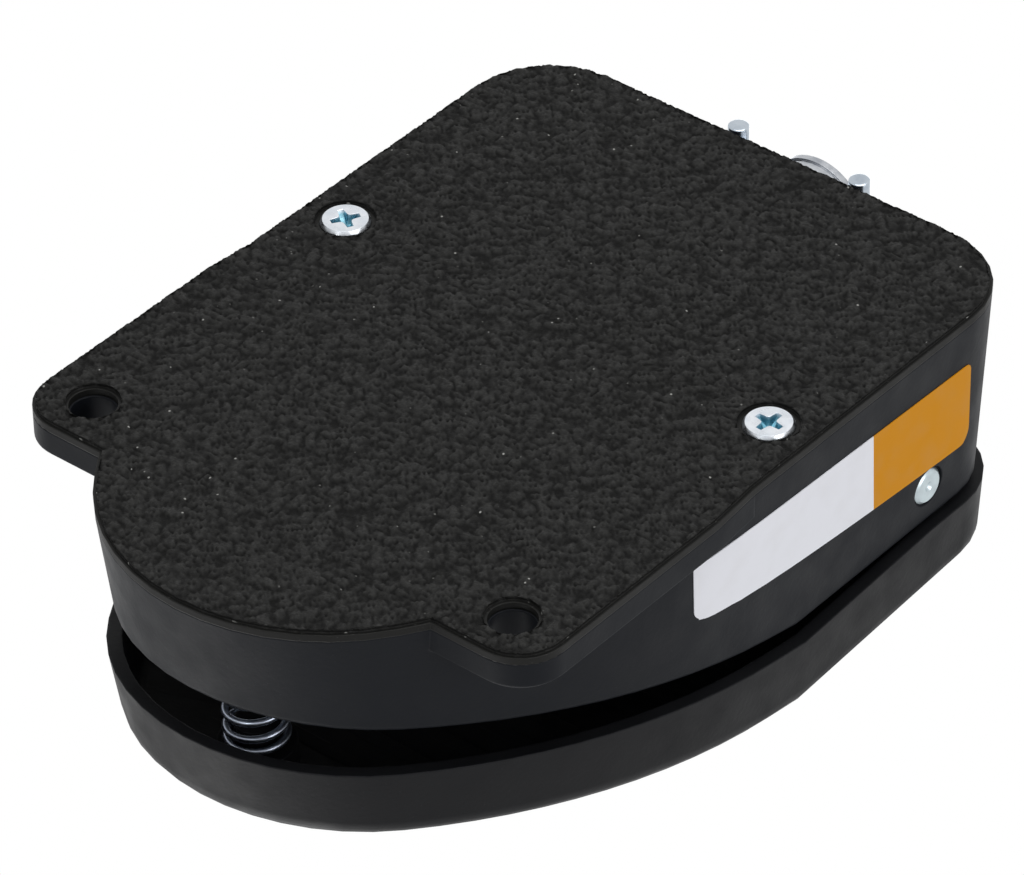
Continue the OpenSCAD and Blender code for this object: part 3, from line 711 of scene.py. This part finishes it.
def settle(piece: bpy.types.Object) -> None:
    """Turn a piece's modifiers into its mesh.

    Args:
        piece: The piece, which keeps its name and its place.
    """
    bpy.context.view_layer.update()
    graph = bpy.context.evaluated_depsgraph_get()
    result = bpy.data.meshes.new_from_object(piece.evaluated_get(graph))
    piece.modifiers.clear()
    piece.data = result


def cut(target: bpy.types.Object, tool: bpy.types.Object) -> None:
    """Cut one piece out of another and remove the tool.

    Args:
        target: The piece that is cut.
        tool: The piece that cuts it.
    """
    step = target.modifiers.new("cut", "BOOLEAN")
    step.operation = "DIFFERENCE"
    step.solver = "EXACT"
    step.object = tool
    settle(target)
    bpy.data.objects.remove(tool)


def reshade(piece: bpy.types.Object, smooth_angle: float) -> None:
    """Shade a piece smooth apart from its sharp edges.

    Args:
        piece: The piece.
        smooth_angle: Angle in degrees from which an edge is sharp.
    """
    limit = math.radians(smooth_angle)
    work = bmesh.new()
    work.from_mesh(piece.data)
    for face in work.faces:
        face.smooth = True
    for edge in work.edges:
        edge.smooth = len(edge.link_faces) == 2 and edge.calc_face_angle(0.0) < limit
    work.to_mesh(piece.data)
    work.free()


def slice_mesh(mesh: bmesh.types.BMesh, place: Sequence[float], normal: Sequence[float]) -> None:
    """Part every face of a bmesh along a plane, and keep both sides.

    Args:
        mesh: The bmesh.
        place: A point of the plane.
        normal: Its direction.
    """
    bmesh.ops.bisect_plane(mesh, geom=mesh.verts[:] + mesh.edges[:] + mesh.faces[:],
                           dist=SLICE_TOLERANCE, plane_co=place, plane_no=normal)


# Sub-assemblies


@dataclass
class SmoothPart:
    """A CAD node's form as a new piece, with flat faces merged and round ones shaded as one."""

    shop: Paintshop
    node: str
    name: str
    body: Body = Body.BASE
    smooth_angle: float = 32.0
    merge: float = 0.002 * MM
    flat_angle: float = 0.3
    size_weight: int = 80

    def shape(self, work: bmesh.types.BMesh) -> None:
        """Leave the form as it is; a part with its own changes makes them here."""

    def build(self) -> bpy.types.Object:
        """Copy the node's mesh, merge its faces and shade it by their size.

        Returns:
            The piece that replaces the node.
        """
        work = bmesh.new()
        work.from_mesh(frame["nodes"][self.node].data)
        bmesh.ops.remove_doubles(work, verts=work.verts, dist=self.merge)
        bmesh.ops.dissolve_limit(work, angle_limit=math.radians(self.flat_angle),
                                 verts=work.verts, edges=work.edges)
        self.shape(work)
        piece = mesh_piece(self.name, work, self.smooth_angle)
        weigh = piece.modifiers.new("weigh", "WEIGHTED_NORMAL")
        weigh.keep_sharp = True
        weigh.weight = self.size_weight
        settle(piece)
        self.shop.dress(piece, self.shop.slots[self.node])
        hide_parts(self.node)
        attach(piece, self.body.value)
        return piece


@dataclass
class HousingCasting(SmoothPart):
    """The cast housing, whose side walls stand straight along the floor up to the ears."""

    half_w: float = 50.1 * MM
    straight_y: float = 52.0 * MM
    flank_r: float = 112.24 * MM
    ear_y: float = 33.0 * MM
    fade_y: float = 6.0 * MM
    foot_z: float = 2.0 * MM
    lean: float = 1.9 * MM
    flat_z: float = 37.0 * MM
    bend_y: float = 59.5 * MM
    fall: float = 0.21256
    edge_r: float = 1.2 * MM
    reach: float = 0.14 * MM
    below: float = 0.01

    def flank_x(self, y: float, inset: float) -> float:
        """Give half the width of the curved flanks at a place along the housing.

        Args:
            y: Place along the housing in metres.
            inset: How far the outline is moved in.

        Returns:
            The distance from the middle plane.
        """
        r = self.flank_r - inset
        return self.half_w - self.flank_r + math.sqrt(r * r - (y - self.straight_y) ** 2)

    def shape(self, work: bmesh.types.BMesh) -> None:
        """Move the foot of the curved flanks out to the straight line, and leave their top.

        Args:
            work: The housing's mesh, changed in place.
        """
        moved: set[bmesh.types.BMFace] = set()
        for vert in work.verts:
            x, y, z = vert.co
            if not self.fade_y < y < self.straight_y:
                continue
            top = self.flat_z - (self.bend_y - y) * self.fall - self.edge_r
            share = (z - self.foot_z) / (top - self.foot_z)
            off = abs(abs(x) - self.flank_x(y, self.lean * share))
            if not -self.below <= share < 1.0 or off > self.reach:
                continue
            out = self.half_w - self.flank_x(max(y, self.ear_y), 0.0)
            out *= min(1.0, (y - self.fade_y) / (self.ear_y - self.fade_y))
            vert.co.x += math.copysign(out * (1.0 - share), x)
            moved.update(vert.link_faces)
        bmesh.ops.triangulate(work, faces=list(moved))


@dataclass
class LabelFilm:
    """Thin film on the left side wall, with two blank fields."""

    shop: Paintshop
    wall: bpy.types.Object
    front: float = 32.3 * MM
    length: float = 68.8 * MM
    height: float = 15.6 * MM
    low_edge: Range = (8.0 * MM, 9.95 * MM)
    high_edge: Range = (20.5 * MM, 26.4 * MM)
    high_bulge: float = 0.7 * MM
    slant: float = 1.5 * MM
    corner_low: float = 1.3 * MM
    corner_high: float = 3.0 * MM
    corner_steps: int = 8
    pitch: float = 2.1 * MM
    thickness: float = 0.12 * MM
    sunk: float = 0.03 * MM
    start_x: float = -50.4 * MM
    smooth_angle: float = 40.0

    def outline(self) -> list[Range]:
        """Give the flat film's outline, a rectangle with rounded corners.

        Returns:
            The points, in order round the film.
        """
        points = []
        corners = ((1, 1, 0.0), (0, 1, 90.0), (0, 0, 180.0), (1, 0, 270.0))
        for rear, high, start in corners:
            r = self.corner_high if high else self.corner_low
            cy = self.length - r if rear else r
            cz = self.height - r if high else r
            for i in range(self.corner_steps + 1):
                a = math.radians(start + 90.0 * i / self.corner_steps)
                points.append((cy + r * math.cos(a), cz + r * math.sin(a)))
        return points

    def place(self, y: float, z: float) -> Vector:
        """Give the point beside the wall where a point of the flat film goes.

        Args:
            y: Distance from the film's front end.
            z: Distance from its lower edge.

        Returns:
            The point, a little outside the wall.
        """
        along, up = y / self.length, z / self.height
        low, high = (front + (rear - front) * along
                     for front, rear in (self.low_edge, self.high_edge))
        high += 4.0 * along * (1.0 - along) * self.high_bulge
        return Vector((self.start_x, self.front + y + self.slant * up, low + (high - low) * up))

    def build(self) -> bpy.types.Object:
        """Cut the film from a flat sheet and lay it on the wall.

        Returns:
            The film.
        """
        sheet = bmesh.new()
        sheet.faces.new([sheet.verts.new((0.0, y, z)) for y, z in self.outline()])
        for i in range(1, int(self.length / self.pitch)):
            slice_mesh(sheet, (0.0, i * self.pitch, 0.0), (0.0, 1.0, 0.0))
        surface = bmesh.new()
        surface.from_mesh(self.wall.data)
        tree = BVHTree.FromBMesh(surface)
        work = bmesh.new()
        skins = []
        for lift in (self.thickness, -self.sunk):
            skin = {}
            for vert in sheet.verts:
                foot, normal, _, _ = tree.find_nearest(self.place(vert.co.y, vert.co.z))
                skin[vert] = work.verts.new(foot + normal * lift)
            for face in sheet.faces:
                work.faces.new([skin[vert] for vert in face.verts])
            skins.append(skin)
        for edge in sheet.edges:
            if edge.is_boundary:
                first, second = edge.verts
                work.faces.new((skins[0][first], skins[0][second],
                                skins[1][second], skins[1][first]))
        sheet.free()
        surface.free()
        piece = mesh_piece("label_skin", work, self.smooth_angle)
        self.shop.dress(piece, "label_film")
        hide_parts("side_label")
        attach(piece, Body.BASE.value)
        return piece


@dataclass
class NonSlipPad:
    """Thin pad under the base, with a coarse wrinkled grain in its mesh."""

    shop: Paintshop
    pitch: float = 0.5 * MM
    depth: float = 0.50 * MM
    wrinkle: float = 1.3 * MM
    stretch: float = 1.7
    warp: float = 0.5
    warp_scale: float = 0.6
    warp_levels: Range = (4.0, 11.0)
    coarse_gain: float = 3.2
    coarse_share: float = 0.62
    fine: float = 0.8 * MM
    fine_gain: float = 2.6
    slant: float = -38.0
    rim_keep: float = 0.06 * MM
    rim_rise: float = 0.4
    rim_ragged: float = 0.28 * MM
    rim_gain: float = 2.0
    floor_z: float = 0.001 * MM
    side_normal: float = 0.5
    flat_angle: float = 0.001
    smooth_angle: float = 55.0

    def height(self, x: float, y: float) -> float:
        """Give the depth of the grain, from 0 at a ridge to 1 in a valley.

        Args:
            x: Place across the pad in metres.
            y: Place along the pad in metres.

        Returns:
            The share of the full depth.
        """
        c, s = math.cos(math.radians(self.slant)), math.sin(math.radians(self.slant))
        u = (x * c + y * s) / (self.stretch * self.wrinkle)
        v = (y * c - x * s) / self.wrinkle
        shift_u, shift_v = (
            self.warp * noise.noise((u * self.warp_scale, v * self.warp_scale, level))
            for level in self.warp_levels)
        coarse = self.coarse_gain * abs(noise.noise((u + shift_u, v + shift_v, 0.0)))
        fine = self.fine_gain * abs(noise.noise((x / self.fine, y / self.fine, 7.0)))
        share = self.coarse_share
        return 1.0 - min(1.0, coarse) * share - min(1.0, fine) * (1.0 - share)

    def build(self) -> bpy.types.Object:
        """Cut the pad's underside into a fine grid and press the grain into it.

        Returns:
            The pad.
        """
        work = bmesh.new()
        work.from_mesh(frame["nodes"]["non_slip_pad"].data)
        bmesh.ops.dissolve_limit(work, angle_limit=self.flat_angle, verts=work.verts,
                                 edges=work.edges)
        low, high = (Vector(p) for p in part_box("non_slip_pad"))
        for axis, normal in enumerate((Vector((1, 0, 0)), Vector((0, 1, 0)))):
            for i in range(1, int((high[axis] - low[axis]) / self.pitch)):
                slice_mesh(work, normal * (low[axis] + self.pitch * i), normal)
        for vert in work.verts:
            if vert.co.z > self.floor_z:
                continue
            inner = all(face.normal.z < -self.side_normal for face in vert.link_faces)
            if inner:
                vert.co.z += self.depth * self.height(vert.co.x, vert.co.y)
                continue
            sides = [f.normal for f in vert.link_faces if abs(f.normal.z) < self.side_normal]
            out = sum(sides, Vector()).normalized()
            share = abs(noise.noise((vert.co.x / self.fine, vert.co.y / self.fine, 2.0)))
            vert.co -= out * self.rim_ragged * min(1.0, self.rim_gain * share)
            vert.co.z += self.rim_keep + self.rim_rise * self.depth * share
        piece = mesh_piece("pad_grain", work, self.smooth_angle)
        self.shop.dress(piece, "pad_rubber")
        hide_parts("non_slip_pad")
        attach(piece, Body.BASE.value)
        return piece


@dataclass
class CoverScrews:
    """Two flat cross-recess screws that hold the base plate."""

    shop: Paintshop
    reach: float = 59.6 * MM
    spacing: float = 84.4 * MM
    face_z: float = 0.05 * MM
    head_r: float = 4.1 * MM
    rim_t: float = 0.75 * MM
    cone_l: float = 2.32 * MM
    thread_r: float = 2.08 * MM
    tip_z: float = 12.0 * MM
    pitch: float = 0.79 * MM
    thread_depth: float = 0.3 * MM
    thread_gap: float = 0.05 * MM
    tip_taper: float = 0.5 * MM
    chamfer_w: float = 0.40 * MM
    step_w: float = 0.02 * MM
    step_h: float = 0.10 * MM
    rim_lean: float = 0.04 * MM
    rim_edge: Range = (0.26 * MM, 0.13 * MM)
    sides: int = 56
    smooth_angle: float = 32.0
    arm_l: float = 2.45 * MM
    arm_w: float = 0.64 * MM
    arm_end: float = 0.82
    fillet: Range = (1.25, 1.9)
    recess: float = 1.7 * MM
    levels: tuple[Point, ...] = ((-0.3, 1.03, 1.03), (0.0, 1.0, 1.0), (0.35, 0.93, 0.92),
                                 (0.70, 0.78, 0.80), (1.0, 0.30, 0.5))
    turns: Range = (4.0, 30.0)

    def cross(self, centre: Point, turn: float) -> bpy.types.Object:
        """Make the tapered cross that is cut into a head.

        Args:
            centre: Middle of the head's face.
            turn: Turn of the cross in degrees.

        Returns:
            The cutting tool.
        """
        near, far = self.fillet
        rings = []
        for depth, length, width in self.levels:
            w = self.arm_w * width
            l = max(self.arm_l * length, near * w)
            arm = ((l, -self.arm_end * w), (l, self.arm_end * w), (far * w, w),
                   (near * w, near * w), (w, far * w))
            ring = []
            for quarter in range(4):
                a = math.radians(90 * quarter + turn)
                for x, y in arm:
                    x, y = min(x, l), min(y, l)
                    ring.append((centre[0] + x * math.cos(a) - y * math.sin(a),
                                 centre[1] + x * math.sin(a) + y * math.cos(a),
                                 centre[2] + depth * self.recess))
            rings.append(ring)
        work = bmesh.new()
        add_loft(work, rings)
        return mesh_piece("cross_tool", work)

    def build(self) -> bpy.types.Object:
        """Turn both screws and cut their recesses.

        Returns:
            The two screws as one piece.
        """
        work = bmesh.new()
        r, z, rim_z = self.head_r, self.face_z, self.face_z + self.rim_t
        for side in (-1, 1):
            centre = (side * self.spacing / 2, self.reach, 0.0)
            head = [(AXIS_R, z), (r - self.chamfer_w - self.step_w, z),
                    (r - self.chamfer_w, z + self.step_h),
                    (r - self.rim_lean, rim_z - self.rim_edge[0]), (r, rim_z - self.rim_edge[1]),
                    (r, rim_z), (self.thread_r, rim_z + self.cone_l)]
            rings = lathe_rings(head, centre, self.sides)
            rings += thread_rings(self.thread_r, self.thread_depth, self.pitch,
                                  rim_z + self.cone_l + self.thread_gap,
                                  self.tip_z - self.tip_taper, centre, self.sides)
            rings += lathe_rings([(self.thread_r - self.tip_taper, self.tip_z)], centre, self.sides)
            add_loft(work, rings)
        piece = mesh_piece("cover_screw_pair", work)
        for side, turn in zip((-1, 1), self.turns):
            cut(piece, self.cross((side * self.spacing / 2, self.reach, z), turn))
        reshade(piece, self.smooth_angle)
        self.shop.dress(piece, "zinc_screws", "recessed_zinc")
        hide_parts("cover_screws")
        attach(piece, Body.BASE.value)
        return piece


@dataclass
class ClampScrews:
    """Two slotted screws of the cable clamp, threaded down to their tips."""

    shop: Paintshop
    reach: float = 121.6 * MM
    spacing: float = 24.4 * MM
    tip_z: float = 3.2 * MM
    seat_z: float = 19.2 * MM
    head_h: float = 2.2 * MM
    head_r: float = 2.8 * MM
    thread_r: float = 1.75 * MM
    pitch: float = 0.79 * MM
    thread_depth: float = 0.26 * MM
    thread_gap: float = 0.05 * MM
    thread_fade: float = 0.4 * MM
    neck: float = 0.3 * MM
    plain_l: float = 3.2 * MM
    tip_shape: tuple[Range, ...] = ((0.34 * MM, 0.0), (0.16 * MM, 0.04 * MM),
                                    (0.04 * MM, 0.14 * MM), (0.0, 0.3 * MM))
    head_shape: tuple[Range, ...] = ((0.0, 0.7 * MM), (0.3 * MM, 0.25 * MM),
                                     (1.1 * MM, 0.04 * MM))
    slot_w: float = 0.9 * MM
    slot_depth: float = 1.0 * MM
    slot_turn: float = 0.4
    sides: int = 40
    smooth_angle: float = 35.0

    def build(self) -> bpy.types.Object:
        """Turn both screws and cut their slots.

        Returns:
            The two screws as one piece.
        """
        work = bmesh.new()
        top = self.seat_z + self.head_h
        for side in (-1, 1):
            centre = (side * self.spacing / 2, self.reach, 0.0)
            tip = [(AXIS_R, self.tip_z)]
            tip += [(self.thread_r - inset, self.tip_z + rise) for inset, rise in self.tip_shape]
            tip.append((self.thread_r, self.tip_z + self.plain_l))
            head = [(self.thread_r, self.seat_z), (self.head_r, self.seat_z)]
            head += [(self.head_r - inset, top - drop) for inset, drop in self.head_shape]
            head.append((AXIS_R, top))
            rings = lathe_rings(tip, centre, self.sides)
            rings += thread_rings(self.thread_r, self.thread_depth, self.pitch,
                                  self.tip_z + self.plain_l + self.thread_gap,
                                  self.seat_z - self.neck, centre, self.sides, self.thread_fade)
            rings += lathe_rings(head, centre, self.sides)
            add_loft(work, rings)
        piece = mesh_piece("clamp_screw_pair", work)
        for side in (-1, 1):
            slot = bmesh.new()
            bmesh.ops.create_cube(slot, size=1.0)
            size = Matrix.Diagonal((3 * self.head_r, self.slot_w, 2 * self.slot_depth, 1.0))
            turn = Matrix.Rotation(self.slot_turn * side, 4, "Z")
            place = Matrix.Translation((side * self.spacing / 2, self.reach, top))
            bmesh.ops.transform(slot, matrix=place @ turn @ size, verts=slot.verts)
            cut(piece, mesh_piece("slot_tool", slot))
        reshade(piece, self.smooth_angle)
        self.shop.dress(piece, "zinc_screws")
        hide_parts("clamp_screws")
        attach(piece, Body.BASE.value)
        return piece


@dataclass
class SpringCoil:
    """Return spring of round wire between the housing pocket and the treadle boss."""

    shop: Paintshop
    reach: float = -11.5 * MM
    mean_r: float = 4.7 * MM
    wire_r: float = 0.62 * MM
    turns: float = 7.25
    steps: int = 36
    sides: int = 12
    end_rise: float = 0.06
    travel: float = 5.97 * MM
    smooth_angle: float = 60.0

    def rise(self, t: float) -> float:
        """Give the share of the spring's height after a number of turns.

        Args:
            t: Turns from the lower end.

        Returns:
            The share from 0 to 1.
        """
        ends = self.end_rise * (min(t, 1.0) + max(0.0, t - self.turns + 1))
        middle = max(0.0, min(t - 1, self.turns - 2)) / (self.turns - 2)
        return ends + (1 - 2 * self.end_rise) * middle

    def build(self) -> bpy.types.Object:
        """Sweep the wire along the coil.

        Returns:
            The spring.
        """
        rings = []
        foot, head = (p[2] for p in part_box("return_spring"))
        low_z, high_z = foot + self.wire_r, head - self.wire_r
        for i in range(round(self.turns * self.steps) + 1):
            t = i / self.steps
            turn = 2 * math.pi * t
            z = low_z + (high_z - low_z) * self.rise(t)
            ring = []
            for k in range(self.sides):
                b = 2 * math.pi * k / self.sides
                r = self.mean_r + self.wire_r * math.cos(b)
                ring.append((r * math.cos(turn), self.reach + r * math.sin(turn),
                             z + self.wire_r * math.sin(b)))
            rings.append(ring)
        work = bmesh.new()
        add_loft(work, rings)
        piece = mesh_piece("spring_coil", work, self.smooth_angle)
        self.shop.dress(piece, "spring_steel")
        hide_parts("return_spring")
        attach(piece, Body.BASE.value)
        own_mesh(piece)
        return piece


# Studio


@dataclass
class AreaLamp:
    """One soft square lamp."""

    name: str
    place: Point
    size: float
    watts: float
    aim: Point = (0.0, 0.045, 0.025)

    def build(self) -> None:
        """Put the lamp in the scene, facing its aim."""
        away = Vector(self.aim) - Vector(self.place)
        data = bpy.data.lights.new(self.name, "AREA")
        data.shape = "SQUARE"
        data.size = self.size
        data.energy = self.watts
        lamp = bpy.data.objects.new(self.name, data)
        lamp.location = self.place
        lamp.rotation_euler = away.to_track_quat("-Z", "Y").to_euler()
        bpy.context.scene.collection.objects.link(lamp)


@dataclass
class Studio:
    """White surround, soft lamps, a pale floor that is open from below, and the camera."""

    fill: float = 0.42
    backdrop: float = 1.0
    mirrored: float = 0.85
    floor_colour: Colour = (0.86, 0.86, 0.86)
    floor_rough: float = 0.9
    floor_half: float = 3.0
    floor_gap: float = 0.3 * MM
    camera_place: Point = (-0.5237, -0.5663, -0.6073)
    camera_right: Point = (-0.7699, 0.6379, 0.0168)
    camera_up: Point = (0.3799, 0.4793, -0.7911)
    camera_back: Point = (-0.5127, -0.6027, -0.6114)
    lens: float = 232.06
    sensor: float = 36.0
    clip: Range = (0.01, 20.0)
    lamps: list[AreaLamp] = field(default_factory=lambda: [
        AreaLamp("under_lamp", (-0.10, 0.25, -1.15), 0.9, 5.2),
        AreaLamp("side_lamp", (-1.15, -0.05, -0.35), 0.7, 4.6),
        AreaLamp("upper_lamp", (0.30, -0.35, 1.20), 0.9, 5.0),
        AreaLamp("rear_lamp", (0.55, 1.10, 0.35), 0.8, 2.6),
        AreaLamp("glint_lamp", (-0.05, -0.92, -0.55), 0.12, 0.8),
    ])

    def world(self) -> None:
        """Make the surround: white to the eye and in reflections, a soft fill for the rest."""
        world = bpy.data.worlds.new("surround")
        bpy.context.scene.world = world
        world.use_nodes = True
        nodes, links = world.node_tree.nodes, world.node_tree.links
        path = nodes.new("ShaderNodeLightPath").outputs
        level = self.fill
        rays = (("Is Glossy Ray", self.mirrored), ("Is Camera Ray", self.backdrop),
                ("Is Transmission Ray", self.backdrop))
        for ray, strength in rays:
            share = nodes.new("ShaderNodeMapRange")
            share.inputs["To Max"].default_value = strength
            links.new(path[ray], share.inputs["Value"])
            most = nodes.new("ShaderNodeMath")
            most.operation = "MAXIMUM"
            links.new(share.outputs["Result"], most.inputs[0])
            if isinstance(level, float):
                most.inputs[1].default_value = level
            else:
                links.new(level, most.inputs[1])
            level = most.outputs[0]
        links.new(level, nodes["Background"].inputs["Strength"])
        nodes["Background"].inputs["Color"].default_value = (1.0, 1.0, 1.0, 1.0)

    def floor(self) -> None:
        """Lay the pale floor, which shows only from above."""
        work = bmesh.new()
        h = self.floor_half
        corners = ((-h, -h), (h, -h), (h, h), (-h, h))
        work.faces.new([work.verts.new((x, y, -self.floor_gap)) for x, y in corners])
        piece = mesh_piece("floor", work)
        material = bpy.data.materials.new("pale_floor")
        material.use_nodes = True
        nodes, links = material.node_tree.nodes, material.node_tree.links
        shader = nodes["Principled BSDF"]
        shader.inputs["Base Color"].default_value = (*self.floor_colour, 1.0)
        shader.inputs["Roughness"].default_value = self.floor_rough
        clear = nodes.new("ShaderNodeBsdfTransparent")
        mix = nodes.new("ShaderNodeMixShader")
        links.new(nodes.new("ShaderNodeNewGeometry").outputs["Backfacing"], mix.inputs[0])
        links.new(shader.outputs[0], mix.inputs[1])
        links.new(clear.outputs[0], mix.inputs[2])
        links.new(mix.outputs[0], nodes["Material Output"].inputs["Surface"])
        piece.data.materials.append(material)
        for name in ("visible_diffuse", "visible_glossy", "visible_transmission", "visible_shadow"):
            setattr(piece, name, False)

    def camera(self) -> None:
        """Place the camera below and in front of the base."""
        data = bpy.data.cameras.new("view")
        data.lens = self.lens
        data.sensor_width = self.sensor
        data.clip_start, data.clip_end = self.clip
        camera = bpy.data.objects.new("view", data)
        axes = Matrix((self.camera_right, self.camera_up, self.camera_back)).transposed()
        camera.matrix_world = Matrix.Translation(self.camera_place) @ axes.to_4x4()
        bpy.context.scene.collection.objects.link(camera)
        bpy.context.scene.camera = camera

    def build(self) -> None:
        """Set up the whole studio."""
        self.world()
        self.floor()
        for lamp in self.lamps:
            lamp.build()
        self.camera()
        bpy.context.scene.view_settings.view_transform = "Standard"


def main() -> None:
    """Build the studio and every dressed piece, and log each piece's face count."""
    logging.basicConfig(level=logging.INFO, format="%(name)s: %(message)s")
    Studio().build()
    shop = Paintshop()
    shop.dress_nodes()
    housing = HousingCasting(shop, "base_housing", "housing_casting").build()
    builders: list[Callable[[], bpy.types.Object]] = [
        SmoothPart(shop, "treadle", "treadle_casting", Body.TREADLE).build,
        SmoothPart(shop, "base_plate", "plate_sheet").build,
        SmoothPart(shop, "connector_body", "connector_casting").build,
        SmoothPart(shop, "pivot_pin", "turned_pin").build,
        LabelFilm(shop, housing).build,
        NonSlipPad(shop).build,
        CoverScrews(shop).build,
        ClampScrews(shop).build,
        SpringCoil(shop).build,
    ]
    for build in builders:
        piece = build()
        LOG.info("piece %s has %d faces", piece.name, len(piece.data.polygons))


if __name__ == "__main__":
    main()
